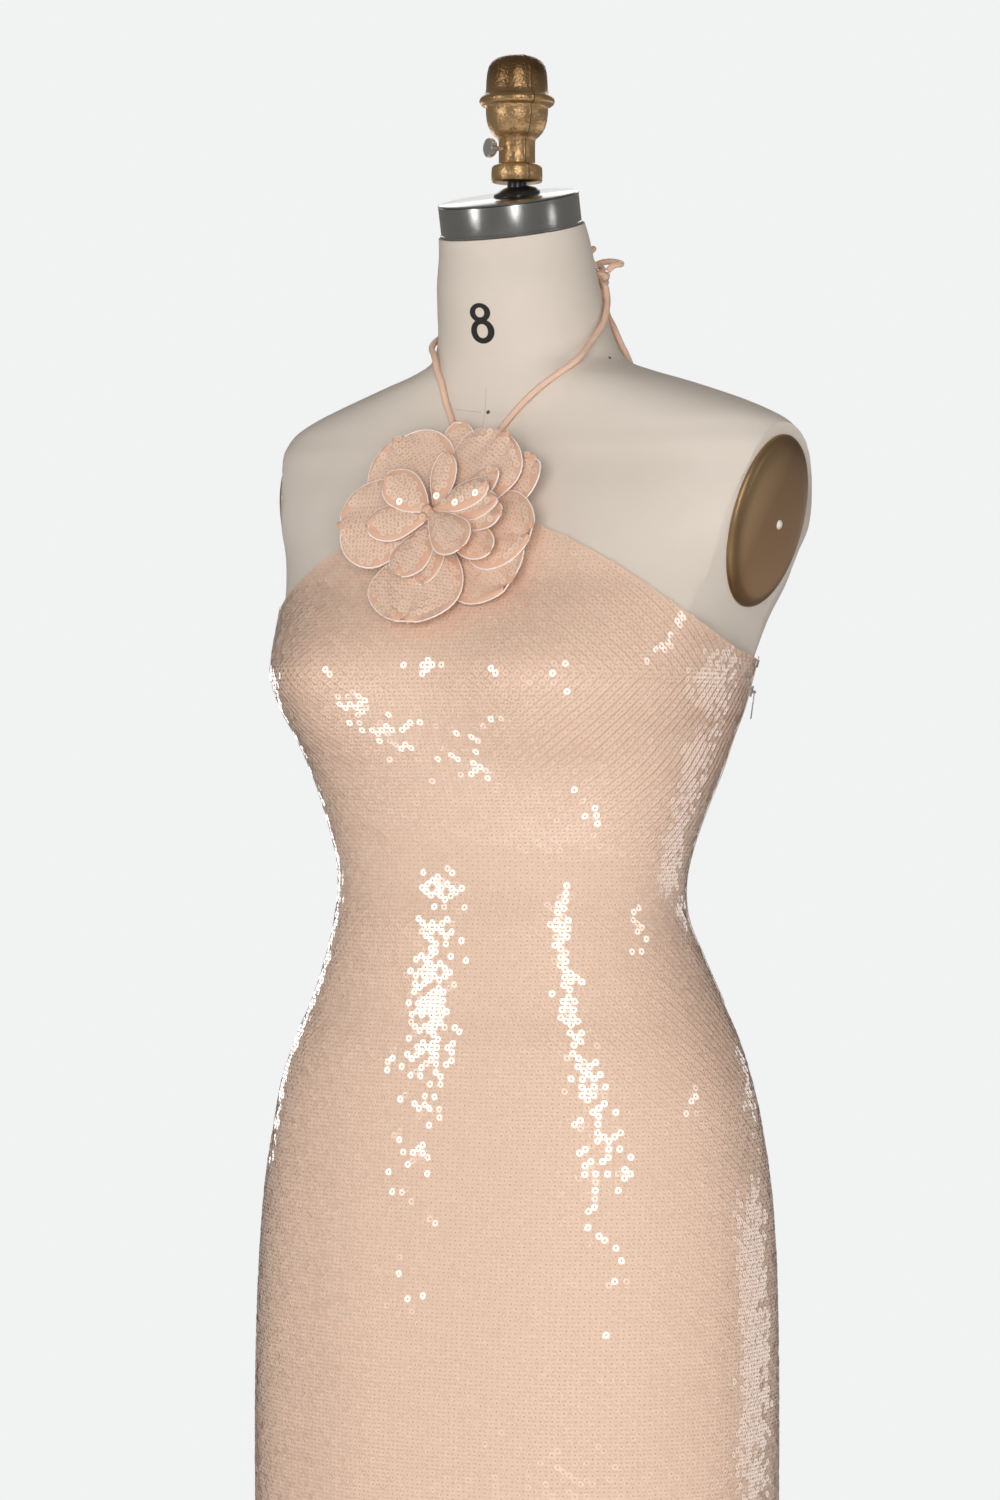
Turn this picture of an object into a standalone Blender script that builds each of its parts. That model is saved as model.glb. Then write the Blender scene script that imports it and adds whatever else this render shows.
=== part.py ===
"""Halter evening gown on a limbless dress form, as closed solids.

Lengths in the tables and constants are millimetres. MM turns them into Blender's metres where a mesh
is made. The pole's axis is the Z axis, the floor is Z = 0, and the form faces -Y, so +X is the
wearer's left. A turn is an angle round the pole in degrees: 0 is +X, 90 the back and 270 the front.
"""

import math

import bmesh
import bpy
from mathutils import Matrix, Vector
from mathutils.bvhtree import BVHTree

MM = 0.001
GAP = 0.3

# ---------------------------------------------------------------- driving sizes
COLUMNS_ROUND = 40
STEP = 360 / COLUMNS_ROUND
SEAM_TURN = 2 * STEP
FRONT_TURN = 270
BACK_TURN = 90

FORM_BOTTOM = 700
HEM = 45
BUST_LINE = 1199
WAIST_REACH = 117
GOWN_CLEARANCE = 1.8
GOWN_WALL = 1.4
GOWN_OUT = GOWN_CLEARANCE + GOWN_WALL

BUST_ACROSS = 86
BUST_SPREAD = 54
BUST_BLEND = 0.6
NECK_TOP = 1497.5
NECK_LEAN_FROM = 1425
NECK_LEAN = math.tan(math.radians(13.6))
NECK_CENTRE_Y = -7.5

# Half widths and depths of the figure at each height. Below the form's lower edge the rows are the
# line of the hanging skirt. front_square and back_square are superellipse exponents.
FIGURE = (
    # height, half_width, centre_y, front, back, front_square, back_square, bust
    (45, 182, 0, 136, 124, 2.1, 2.1, 0),
    (300, 174, 0, 130, 114, 2.2, 2.2, 0),
    (520, 177, 0, 133, 113, 2.2, 2.2, 0),
    (700, 178.5, 0, 133.5, 113.5, 2.2, 2.2, 0),
    (780, 178, 0, 129.5, 112.5, 2.2, 2.2, 0),
    (825, 176.5, 0, 125, 111.5, 2.2, 2.2, 0),
    (865, 173, 0, 122, 111.5, 2.2, 2.2, 0),
    (900, 167, 0, 119, 111, 2.2, 2.2, 0),
    (930, 160.5, -1, 116, 110, 2.2, 2.2, 0),
    (960, 149, 0, 114, 110, 2.2, 2.2, 0),
    (985, 137.5, -1, 106, 105, 2.2, 2.2, 0),
    (1015, 125.5, -4, 99, 95.5, 2.2, 2.2, 0),
    (1040, 118, -8, 92.5, 85.5, 2.2, 2.2, 0),
    (1065, 117, -8, 86, 81.5, 2.2, 2.2, 0),
    (1090, 121.5, -7, 87.5, 87.5, 2.2, 2.2, 0),
    (1115, 128.3, -3.5, 97.5, 97, 2.25, 2.2, 0),
    (1140, 136.2, -0.5, 109, 106, 2.3, 2.25, 2.9),
    (1160, 141.7, 0.5, 117, 112, 2.35, 2.3, 11.9),
    (1180, 149.5, -1, 124, 117, 2.45, 2.35, 15.9),
    (1199, 154.5, -2, 128, 122, 2.5, 2.4, 19.6),
    (1215, 157, 0, 127, 126, 2.5, 2.5, 15.9),
    (1240, 161, 6, 121, 132, 2.45, 2.7, 7.3),
    (1262, 168, 14, 117, 127, 2.3, 3.0, 0),
    (1285, 178, 20, 111.5, 118, 2.1, 3.0, 0),
    (1302, 190, 24, 106, 108, 2.0, 2.8, 0),
    (1320, 196, 27, 98, 99, 2.0, 2.6, 0),
    (1340, 197, 29, 88, 90, 2.0, 2.4, 0),
    (1352, 195, 29, 83, 83, 2.0, 2.3, 0),
    (1361, 189, 29, 79, 79, 2.0, 2.2, 0),
    (1369, 181, 28, 75, 74, 2.0, 2.1, 0),
    (1376, 168, 28, 73, 70, 2.0, 2.0, 0),
    (1383, 151, 29, 73, 66, 2.0, 2.0, 0),
    (1390, 131, 29.5, 73, 62, 2.0, 2.0, 0),
    (1397, 109.5, 29, 72, 59, 2.0, 2.0, 0),
    (1404, 86, 28, 71, 57, 2.0, 2.0, 0),
    (1411, 68, 21, 65, 61, 2.0, 2.0, 0),
    (1425, 59, 14.5, 62.5, 62.5, 2.0, 2.0, 0),
    (1445, 55, 6.5, 60, 60, 2.0, 2.0, 0),
    (1465, 52.5, 0, 56, 56, 2.0, 2.0, 0),
    (1485, 50, -3.5, 51.5, 51.5, 2.0, 2.0, 0),
    (1497.5, 48.5, -7.5, 49, 49, 2.0, 2.0, 0),
)

# The front's top edge: how high the cloth reaches at each turn away from the centre line.
NECKLINE = (
    # turn_from_front, height
    (0, 1338),
    (9, 1336),
    (18, 1321),
    (27, 1299.5),
    (36, 1290),
    (45, 1278.5),
    (54, 1263.5),
    (63, 1248),
    (72, 1236),
    (81, 1226),
    (90, 1219),
    (99, 1215),
    (108, 1213),
)
UNDERARM = NECKLINE[-1][1]
BACK_DIP = 16

ARM_PLATE_CENTRE = (170, 26, 1302)
ARM_PLATE_HALF = (46, 58)
ARM_PLATE_RISE = (26.5, 20, 113)
ARM_PLATE_ALONG = (0.072, 0.997, 0)
ARM_PLATE_BULGE = 7
CUTTER_HALF = 100
CORNERS = ((0, 0), (1, 0), (1, 1), (0, 1))
ARM_SCREW_BACK = 6
ARM_SCREW_RADIUS = 3.2

FLOWER_HEIGHT = 1300
FLOWER_TILT = math.radians(24)
FLOWER_STANDOFF = 4.5
FLOWER_CENTRE = (-2, -9)
FLOWER_CORE_RADIUS = 3
BACKING_RADIUS = 20
BACKING_WALL = 1.3
BACKING_GAP = 0.5
PETAL_WALL = 1.1
PETAL_ROOT_HALF = 1.3

# Petals as cut and sewn: direction and reach from the flower's core, greatest half width, how far
# out of the stack it is sewn, and how much its tip has come forward.
PETALS = (
    # name, direction, reach, half_width, level, rise
    ("petal_outer_1", 128, 76, 32, 5.0, 7),
    ("petal_outer_2", 92, 74, 14, 1.6, 5),
    ("petal_outer_3", 58, 72, 29, 8.4, 6),
    ("petal_outer_4", 37, 74, 20, 1.6, 5),
    ("petal_outer_5", -8, 68, 27, 5.0, 6),
    ("petal_outer_6", -38, 74, 29, 1.6, 7),
    ("petal_outer_7", -96, 74, 33, 8.4, 8),
    ("petal_outer_8", 183, 70, 33, 11.8, 6),
    ("petal_middle_1", 145, 44, 13, 22.0, 7),
    ("petal_middle_2", 192, 44, 13, 18.6, 7),
    ("petal_middle_3", 85, 42, 9, 18.6, 7),
    ("petal_middle_4", -42, 48, 14, 28.8, 7),
    ("petal_middle_5", -110, 46, 14, 15.2, 7),
    ("petal_middle_6", -88, 48, 10, 11.8, 6),
    ("petal_inner_1", 20, 45, 10, 25.4, 7),
    ("petal_inner_2", 6, 50, 10, 22.0, 8),
    ("petal_inner_3", -4, 54, 11, 18.6, 8),
    ("petal_inner_4", -30, 57, 12, 15.2, 8),
    ("petal_inner_5", 36, 51, 10, 15.2, 7),
)
FLOWER_TOP = 31

TIE_DIAMETER = 4.2
CORD_CLEARANCE = 0.6
PARTS_OF_A_STRETCH = 12
KNOT = (38.6, 47.7, 1470)
KNOT_RADIUS = 6
KNOT_ROOM = 0.5
HEADING_REACH = 6
# The ties' own points on the figure, from the point of the front to the knot.
TIE_LEFT = (
    # turn, height, off the figure
    (275.5, 1341, 3.4),
    (278, 1350, 3.2),
    (281, 1360, 3.2),
    (289.5, 1375, 3.2),
    (300, 1389, 4.0),
    (317, 1404.5, 3.9),
    (338, 1420.5, 3.0),
    (349, 1428, 3.0),
    (360, 1435, 3.0),
    (372, 1443, 3.0),
    (384, 1450, 3.4),
    (393, 1457.5, 3.6),
)
TIE_RIGHT = (
    # turn, height, off the figure
    (264.5, 1341, 3.4),
    (259, 1354, 3.2),
    (253.5, 1368, 3.2),
    (248, 1382, 3.2),
    (245, 1393, 3.2),
    (238, 1404, 3.2),
    (228, 1413, 3.0),
    (212, 1421, 3.0),
    (192, 1428, 3.0),
    (168, 1435, 3.0),
    (142, 1441, 3.0),
    (116, 1446, 3.0),
    (92, 1452, 3.0),
    (74, 1459, 4.0),
)
# The free ends' own points, from the knot down over the shoulder blade.
TAIL_OUTER = (
    # turn, height, off the figure
    (51, 1449, 5.0),
    (48, 1442, 3.2),
    (42, 1436, 3.2),
    (37, 1429, 3.2),
    (35, 1420, 3.2),
    (38, 1411, 3.2),
    (47, 1402, 3.2),
    (57, 1390, 3.2),
    (63, 1372, 3.2),
    (66, 1350, 3.2),
    (68, 1328, 3.2),
)
TAIL_INNER = (
    # turn, height, off the figure
    (60, 1449, 4.5),
    (57, 1441, 3.2),
    (51, 1433, 3.2),
    (46, 1425, 3.2),
    (45, 1416, 3.2),
    (52, 1405, 3.2),
    (63, 1393, 3.2),
    (70, 1376, 3.2),
    (74, 1358, 3.2),
    (76, 1341, 3.2),
)
# The loops' own points, from the knot and back to it.
LOOP_SIDE = (
    # left, back, height
    (46.8, 62.2, 1479.8),
    (38.4, 65, 1482),
    (30.1, 64.7, 1481.5),
    (25, 63, 1477.5),
    (31, 65.5, 1472),
)
LOOP_UP = (
    # left, back, height
    (27.5, 50.5, 1485.5),
    (29.5, 56, 1490.5),
    (24, 58.5, 1487.5),
    (27, 57.5, 1481),
)
HEADINGS = {
    # cord's end: (left, back, up) as it leaves the knot
    "tie_left": (0.43, -0.78, -0.46),
    "tie_right": (-0.9, 0.42, 0.1),
    "bow_tail_outer": (0.05, 0.12, -0.99),
    "bow_tail_inner": (-0.6, 0.5, -0.62),
    "bow_loop_side": (0.6, 0.45, 0.66),
    "bow_loop_side_back": (-0.15, 0.96, -0.22),
    "bow_loop_up": (-0.5, -0.1, 0.86),
    "bow_loop_up_back": (-0.3, 0.75, 0.59),
}

CAP_RADIUS = 47
CAP_HEIGHT = 22
CAP_EDGE = 1.2
ROD_RADIUS = 6.4
ROD_TOP = 1530
FINIAL = (
    # radius, height
    (16.9, 1530.4),
    (16.9, 1540),
    (15.4, 1541.6),
    (12.2, 1542),
    (12.2, 1558.5),
    (15.8, 1561.5),
    (18.9, 1566.5),
    (20.6, 1573),
    (20.9, 1580),
    (23.4, 1581.2),
    (25.1, 1583.6),
    (24.6, 1586),
    (21.4, 1589),
    (20.5, 1592.5),
    (20.1, 1601),
    (19.2, 1607.5),
    (16, 1611.8),
    (10, 1614),
    (4, 1615),
)
THUMB_TURN = 238
THUMB_HEIGHT = 1552

POLE_RADIUS = 12.5
BASE = (
    # radius, height
    (200, 0),
    (200, 9),
    (196, 13),
    (40, 16),
    (30, 22),
    (22, 60),
    (20, 64),
)

ZIP_LENGTH = 230
ZIP_HALF_WIDTH = 1.7
ZIP_THICK = 0.6
SLIDER_BELOW_TOP = 21
SLIDER_SIZE = (4.2, 1.3, 7.4)
PIN_OUT = 1.35
PIN_RADIUS = 0.4
PIN_COVER = 0.3
LUG_INSIDE = 1.1
LUG_THICK = 0.8
LUG_DEEP = 1.1
PULL_LENGTH = 18
PULL_WIDTH = 3.0
PULL_THICK = 0.7
PULL_SHOULDER = 2.8
PULL_LEAN = 8
EYE_RADIUS = 0.65
HEAD_RADIUS = 1.1
HEAD_HALF = 0.75

COLOURS = {
    # slot: (red, green, blue, roughness, metallic)
    "sequin_cloth": (0.80, 0.60, 0.47, 0.35, 0.0),
    "satin_rouleau": (0.84, 0.60, 0.47, 0.45, 0.0),
    "zip_tape": (0.72, 0.55, 0.43, 0.7, 0.0),
    "zip_metal": (0.62, 0.62, 0.60, 0.35, 0.9),
    "form_canvas": (0.72, 0.67, 0.59, 0.85, 0.0),
    "brushed_steel": (0.62, 0.61, 0.59, 0.3, 1.0),
    "black_steel": (0.03, 0.03, 0.03, 0.4, 0.8),
    "cast_gold": (0.42, 0.28, 0.12, 0.4, 0.9),
    "plate_gold": (0.38, 0.26, 0.12, 0.5, 0.7),
    "cream_enamel": (0.80, 0.76, 0.68, 0.4, 0.0),
    "stand_iron": (0.08, 0.08, 0.08, 0.5, 0.7),
}


# ---------------------------------------------------------------- making objects
def clear_scene():
    for item in list(bpy.data.objects):
        bpy.data.objects.remove(item, do_unlink=True)


def material(slot):
    """The slot's Principled material, made once."""
    if slot in bpy.data.materials:
        return bpy.data.materials[slot]
    red, green, blue, roughness, metallic = COLOURS[slot]
    made = bpy.data.materials.new(slot)
    made.use_nodes = True
    shader = made.node_tree.nodes["Principled BSDF"]
    shader.inputs["Base Color"].default_value = (red, green, blue, 1)
    shader.inputs["Roughness"].default_value = roughness
    shader.inputs["Metallic"].default_value = metallic
    return made


def link(item, slot):
    bpy.context.scene.collection.objects.link(item)
    item.data.materials.append(material(slot))
    return item


def solid(name, points, faces, slot, origin=(0, 0, 0), smooth=True):
    """One closed object from points in millimetres, with its origin at origin."""
    middle = Vector(origin)
    mesh = bpy.data.meshes.new(name)
    mesh.from_pydata([(Vector(p) - middle) * MM for p in points], [], faces)
    work = bmesh.new()
    work.from_mesh(mesh)
    bmesh.ops.recalc_face_normals(work, faces=work.faces)
    bmesh.ops.triangulate(work, faces=work.faces, quad_method="FIXED")
    work.to_mesh(mesh)
    work.free()
    if smooth:
        mesh.shade_smooth()
        mesh.set_sharp_from_angle(angle=math.radians(40))
    item = link(bpy.data.objects.new(name, mesh), slot)
    item.location = middle * MM
    return item


def shell(outer, inner):
    """Points and faces of the closed wall between two open grids of the same size."""
    rows, columns = len(outer), len(outer[0])
    points = [p for row in outer for p in row] + [p for row in inner for p in row]
    back = rows * columns

    def at(row, column, side):
        return side + row * columns + column

    faces = []
    for side in (0, back):
        for r in range(rows - 1):
            for c in range(columns - 1):
                faces.append((at(r, c, side), at(r, c + 1, side), at(r + 1, c + 1, side), at(r + 1, c, side)))
    for c in range(columns - 1):
        for r in (0, rows - 1):
            faces.append((at(r, c, 0), at(r, c + 1, 0), at(r, c + 1, back), at(r, c, back)))
    for r in range(rows - 1):
        for c in (0, columns - 1):
            faces.append((at(r, c, 0), at(r + 1, c, 0), at(r + 1, c, back), at(r, c, back)))
    return points, faces


def stacked(rings):
    """Points and faces of a closed body through rings of equal size, capped at both ends."""
    count = len(rings[0])
    points = [p for ring in rings for p in ring]
    faces = []
    for r in range(len(rings) - 1):
        for c in range(count):
            d = (c + 1) % count
            low, high = r * count, (r + 1) * count
            faces.append((low + c, low + d, high + d, high + c))
    faces.append(tuple(range(count)))
    faces.append(tuple(range(len(points) - count, len(points))))
    return points, faces


def block(name, place, low, high, slot):
    """A box between two corners in a frame."""
    rings = []
    for z in (low[2], high[2]):
        rings.append([place @ Vector(((low[0], high[0])[i], (low[1], high[1])[j], z)) for i, j in CORNERS])
    return solid(name, *stacked(rings), slot, smooth=False)


def turned(name, profile, slot, sides, place=None):
    """A body turned from (radius, height) rows, its axis Z, then moved by place."""
    place = place or Matrix()
    rings = []
    for radius, height in profile:
        ring = []
        for k in range(sides):
            a = math.tau * k / sides
            ring.append(place @ Vector((radius * math.cos(a), radius * math.sin(a), height)))
        rings.append(ring)
    return solid(name, *stacked(rings), slot)


def frame_matrix(origin, x_axis, z_axis):
    """The matrix of a right-handed frame at origin, with its Z along z_axis and X near x_axis."""
    z = Vector(z_axis).normalized()
    y = z.cross(Vector(x_axis)).normalized()
    x = y.cross(z)
    matrix = Matrix((x, y, z)).transposed().to_4x4()
    matrix.translation = Vector(origin)
    return matrix


# ---------------------------------------------------------------- the figure's surface
def between(rows, at):
    """The table's other columns at a value of its first one, on a smooth curve through its rows."""
    at = min(max(at, rows[0][0]), rows[-1][0])
    k = next(i for i in range(1, len(rows)) if at <= rows[i][0])
    low, high = rows[k - 1], rows[k]
    before, after = rows[max(k - 2, 0)], rows[min(k + 1, len(rows) - 1)]
    span = high[0] - low[0]
    t = (at - low[0]) / span
    found = []
    for c in range(1, len(low)):
        into = (high[c] - before[c]) / (high[0] - before[0]) * span
        out = (after[c] - low[c]) / (after[0] - low[0]) * span
        found.append(
            low[c] * (2 * t**3 - 3 * t**2 + 1)
            + into * (t**3 - 2 * t**2 + t)
            + high[c] * (3 * t**2 - 2 * t**3)
            + out * (t**3 - t**2)
        )
    return found


def ease(t):
    t = min(max(t, 0), 1)
    return t * t * (3 - 2 * t)


def figure_point(turn, height):
    """The point of the figure at a turn round the pole and a height."""
    width, centre, front, back, front_square, back_square, bust = between(FIGURE, height)
    c, s = math.cos(math.radians(turn)), math.sin(math.radians(turn))
    depth, square = (front, front_square) if s < 0 else (back, back_square)
    reach = ((abs(c) / width) ** square + (abs(s) / depth) ** square) ** (-1 / square)
    x, y = reach * c, centre + reach * s
    if s < 0 and bust:
        swell = math.exp(-(((x - BUST_ACROSS) / BUST_SPREAD) ** 2))
        swell += math.exp(-(((x + BUST_ACROSS) / BUST_SPREAD) ** 2))
        y -= bust * swell * ease(-s / BUST_BLEND)
    lean = NECK_LEAN * ease((height - NECK_LEAN_FROM) / (NECK_TOP - NECK_LEAN_FROM))
    return Vector((x, y, height + lean * (y - NECK_CENTRE_Y)))


def figure_normal(turn, height):
    """The outward direction of the figure there."""
    along = figure_point(turn + 1, height) - figure_point(turn - 1, height)
    up = figure_point(turn, height + 1) - figure_point(turn, height - 1)
    return along.cross(up).normalized()


def off_figure(turn, height, out):
    return figure_point(turn, height) + figure_normal(turn, height) * out


# ---------------------------------------------------------------- the dress form
def arm_plate_frame(side):
    """A frame on the arm plate's plane: X to the back along it, Y up it and Z out of it."""
    x, y, z = ARM_PLATE_CENTRE
    rise = Vector(ARM_PLATE_RISE).normalized()
    along = Vector(ARM_PLATE_ALONG).normalized()
    out = along.cross(rise).normalized()
    matrix = Matrix((rise.cross(out), rise, out)).transposed().to_4x4()
    matrix.translation = Vector((x, y, z))
    return Matrix.Diagonal((side, 1, 1, 1)) @ matrix


def make_torso():
    heights = [row[0] for row in FIGURE if row[0] >= FORM_BOTTOM]
    rings = [[figure_point(k * STEP, h) for k in range(COLUMNS_ROUND)] for h in heights]
    torso = solid("form_torso", *stacked(rings), "form_canvas")
    for side, word in ((1, "left"), (-1, "right")):
        place = arm_plate_frame(side)
        low, high = (-CUTTER_HALF, -CUTTER_HALF, 0), (CUTTER_HALF, CUTTER_HALF, CUTTER_HALF)
        cutter = block(f"arm_cutter_{word}", place, low, high, "form_canvas")
        cutter.hide_render = True
        cutter.display_type = "WIRE"
        cut = torso.modifiers.new("armhole", "BOOLEAN")
        cut.operation = "DIFFERENCE"
        cut.object = cutter
    return torso


def make_arm_plates():
    sides = 24
    profile = (
        # share of the outline, height over the cut
        (1.0, 0),
        (1.0, 1.2),
        (0.95, 4.0),
        (0.82, 6.0),
        (0.5, ARM_PLATE_BULGE),
    )
    across, up = ARM_PLATE_HALF
    for side, word in ((1, "left"), (-1, "right")):
        place = arm_plate_frame(side)
        rings = []
        for share, out in profile:
            ring = []
            for k in range(sides):
                a = math.tau * k / sides
                x, y = across * share * math.cos(a), up * share * math.sin(a)
                ring.append(place @ Vector((x, y, out + GAP)))
            rings.append(ring)
        solid(f"arm_plate_{word}", *stacked(rings), "plate_gold")
        on_plate = place @ Matrix.Translation((ARM_SCREW_BACK, 0, ARM_PLATE_BULGE + 2 * GAP))
        dome = (
            (ARM_SCREW_RADIUS, 0),
            (ARM_SCREW_RADIUS, 0.5),
            (ARM_SCREW_RADIUS * 0.7, 1.3),
            (ARM_SCREW_RADIUS * 0.25, 1.6),
        )
        turned(f"arm_screw_{word}", dome, "cream_enamel", 12, on_plate)


def cap_frame():
    """The frame of the neck's slanting top, its Z along the cap's axis."""
    return frame_matrix((0, NECK_CENTRE_Y, NECK_TOP), (1, 0, 0), (0, -NECK_LEAN, 1))


def make_neck_hardware():
    place = cap_frame()
    profile = (
        (CAP_RADIUS + 0.6, GAP),
        (CAP_RADIUS + 0.6, 1),
        (CAP_RADIUS, CAP_HEIGHT - CAP_EDGE),
        (CAP_RADIUS - CAP_EDGE, CAP_HEIGHT),
    )
    turned("neck_cap", profile, "brushed_steel", 40, place)
    top = place @ Vector((0, 0, CAP_HEIGHT + GAP))
    sides = 20
    rings = []
    for radius, lift in ((15.5, 0), (15.5, 1.2), (12.5, 3.6), (ROD_RADIUS, 5.6)):
        ring = []
        for k in range(sides):
            a = math.tau * k / sides
            x, y = radius * math.cos(a), radius * math.sin(a)
            ring.append(Vector((x, y, top.z + (y - top.y) * NECK_LEAN + lift)))
        rings.append(ring)
    rings.append([Vector((p.x, p.y, ROD_TOP)) for p in rings[-1]])
    solid("neck_post", *stacked(rings), "black_steel")


def make_finial():
    turned("finial", FINIAL, "cast_gold", 24)
    turn = math.radians(THUMB_TURN)
    out = Vector((math.cos(turn), math.sin(turn), 0))
    collar = next(radius for radius, height in FINIAL if height >= THUMB_HEIGHT)
    place = frame_matrix((0, 0, THUMB_HEIGHT), (0, 0, 1), out)
    profile = (
        (1.6, collar + GAP),
        (1.6, collar + 4.2),
        (3.6, collar + 5.2),
        (5.8, collar + 6.4),
        (6, collar + 7.4),
        (6, collar + 10),
        (5.2, collar + 10.8),
    )
    turned("thumb_screw", profile, "brushed_steel", 16, place)


def make_stand():
    pole = ((POLE_RADIUS, BASE[-1][1] + GAP), (POLE_RADIUS, FORM_BOTTOM - GAP))
    turned("stand_pole", pole, "brushed_steel", 20)
    turned("stand_base", BASE, "stand_iron", 40)


# ---------------------------------------------------------------- the gown
def neckline_height(turn):
    return between(NECKLINE, abs(turn - FRONT_TURN))[0]


def back_edge_height(turn):
    share = math.cos(math.radians(turn - BACK_TURN) * 90 / (BACK_TURN - SEAM_TURN))
    return UNDERARM - BACK_DIP * share**2


def make_panel(name, first_turn, last_turn, top_of, top_rows):
    """A front or back: figure rows up to the bust, then rows that share out the way to its top edge."""
    heights = [row[0] for row in FIGURE if HEM <= row[0] <= BUST_LINE]
    heights[1:1] = [170]
    columns = round((last_turn - first_turn) / STEP)
    half_gap = math.degrees(GAP / 2 / WAIST_REACH)
    grids = []
    for out in (GOWN_OUT, GOWN_CLEARANCE):
        grid = [[] for _ in range(len(heights) + top_rows)]
        for k in range(columns + 1):
            turn = first_turn + k * STEP
            turn += half_gap if k == 0 else 0
            turn -= half_gap if k == columns else 0
            top = top_of(turn)
            for r, height in enumerate(heights):
                grid[r].append(off_figure(turn, height, out))
            for r in range(1, top_rows + 1):
                height = BUST_LINE + (top - BUST_LINE) * r / top_rows
                grid[len(heights) + r - 1].append(off_figure(turn, height, out))
        grids.append(grid)
    return solid(name, *shell(*grids), "sequin_cloth")


def make_gown():
    front = make_panel("gown_front", 180 - SEAM_TURN, 360 + SEAM_TURN, neckline_height, 7)
    make_panel("gown_back", SEAM_TURN, 180 - SEAM_TURN, back_edge_height, 2)
    return front


# ---------------------------------------------------------------- the flower
def flower_frame():
    """X to the wearer's left, Y up the flower and Z out of it, from its core on the chest."""
    out = Vector((0, -math.cos(FLOWER_TILT), math.sin(FLOWER_TILT)))
    up = Vector((0, math.sin(FLOWER_TILT), math.cos(FLOWER_TILT)))
    matrix = Matrix((Vector((1, 0, 0)), up, out)).transposed().to_4x4()
    base = off_figure(FRONT_TURN, FLOWER_HEIGHT, GOWN_OUT) + out * FLOWER_STANDOFF
    across, above = FLOWER_CENTRE
    matrix.translation = base + Vector((across, 0, 0)) + up * above
    return matrix


def petal_half_width(share, widest):
    """A petal's half width at a share of its length: a narrow root, a full middle, a round tip."""
    full = 0.64
    if share < full:
        return PETAL_ROOT_HALF + (widest - PETAL_ROOT_HALF) * math.sin(math.pi / 2 * share / full) ** 1.15
    return widest * math.sqrt(max(1 - ((share - full) / (1.02 - full)) ** 2, 0))


def make_petal(place, name, direction, reach, half_width, level, rise):
    shares = (0, 0.2, 0.45, 0.7, 0.9, 1)
    across = (-1, -0.5, 0, 0.5, 1)
    start = FLOWER_CORE_RADIUS + GAP
    turn = math.radians(direction)
    way, side = Vector((math.cos(turn), math.sin(turn), 0)), Vector((-math.sin(turn), math.cos(turn), 0))
    grids = []
    for out in (PETAL_WALL, 0):
        grid = []
        for share in shares:
            row = []
            for a in across:
                flat = way * (start + (reach - start) * share)
                flat += side * petal_half_width(share, half_width) * a
                lift = level + rise * (flat.length / reach) ** 2
                row.append(place @ (flat + Vector((0, 0, lift + out))))
            grid.append(row)
        grids.append(grid)
    solid(name, *shell(*grids), "sequin_cloth")


def make_backing(place, front):
    """The round of cloth that the petals are sewn to, with their core: it lies on the front."""
    tree = BVHTree.FromObject(front, bpy.context.evaluated_depsgraph_get())
    down = place.col[2].xyz * -1
    sides = 20
    profile = (
        # radius, height, or None on the front's cloth
        (BACKING_RADIUS / 2, None),
        (BACKING_RADIUS, None),
        (BACKING_RADIUS, BACKING_WALL),
        (FLOWER_CORE_RADIUS, BACKING_WALL),
        (FLOWER_CORE_RADIUS, FLOWER_TOP),
    )
    rings = []
    for radius, out in profile:
        ring = []
        for k in range(sides):
            a = math.tau * k / sides
            p = place @ Vector((radius * math.cos(a), radius * math.sin(a), out or FLOWER_TOP))
            if out is None:
                cloth = tree.ray_cast(p * MM, down)[0]
                p = cloth / MM - down * BACKING_GAP
            ring.append(p)
        rings.append(ring)
    solid("flower_backing", *stacked(rings), "sequin_cloth")


def make_flower(front):
    place = flower_frame()
    make_backing(place, front)
    for row in PETALS:
        make_petal(place, *row)


# ---------------------------------------------------------------- the ties and their bow
def smooth_points(route, spacing):
    """Points at about an even spacing on a smooth curve through the route's own points."""
    route = [Vector(p) for p in route]
    dense = []
    for k in range(len(route) - 1):
        a, b, c, d = route[max(k - 1, 0)], route[k], route[k + 1], route[min(k + 2, len(route) - 1)]
        for i in range(PARTS_OF_A_STRETCH):
            t = i / PARTS_OF_A_STRETCH
            bend = (2 * a - 5 * b + 4 * c - d) * t**2 + (3 * b - a - 3 * c + d) * t**3
            dense.append(b + (c - a) * t / 2 + bend / 2)
    dense.append(route[-1])
    length = sum((q - p).length for p, q in zip(dense, dense[1:]))
    count = max(round(length / spacing), 3)
    found, walked, k = [dense[0]], 0, 0
    for i in range(1, count):
        target = length * i / count
        while walked + (dense[k + 1] - dense[k]).length < target:
            walked += (dense[k + 1] - dense[k]).length
            k += 1
        part = (target - walked) / (dense[k + 1] - dense[k]).length
        found.append(dense[k].lerp(dense[k + 1], part))
    return found + [dense[-1]]


def seat(point, form):
    """The point, moved out to where a cord there lies clear on the form."""
    touch, normal, _, away = form.find_nearest(point * MM)
    short = TIE_DIAMETER / 2 + CORD_CLEARANCE - away / MM
    return point + normal * short if short > 0 else point


def make_cord(name, route, form, spacing):
    points = smooth_points(route, spacing)
    beside_knot = KNOT_RADIUS + HEADING_REACH
    points = [p if (p - Vector(KNOT)).length < beside_knot else seat(p, form) for p in points]
    curve = bpy.data.curves.new(name, "CURVE")
    curve.dimensions = "3D"
    curve.bevel_depth = TIE_DIAMETER / 2 * MM
    curve.bevel_resolution = 2
    curve.use_fill_caps = True
    spline = curve.splines.new("POLY")
    spline.points.add(len(points) - 1)
    for place, p in zip(spline.points, points):
        place.co = (*(p * MM), 1)
    return link(bpy.data.objects.new(name, curve), "satin_rouleau")


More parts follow.
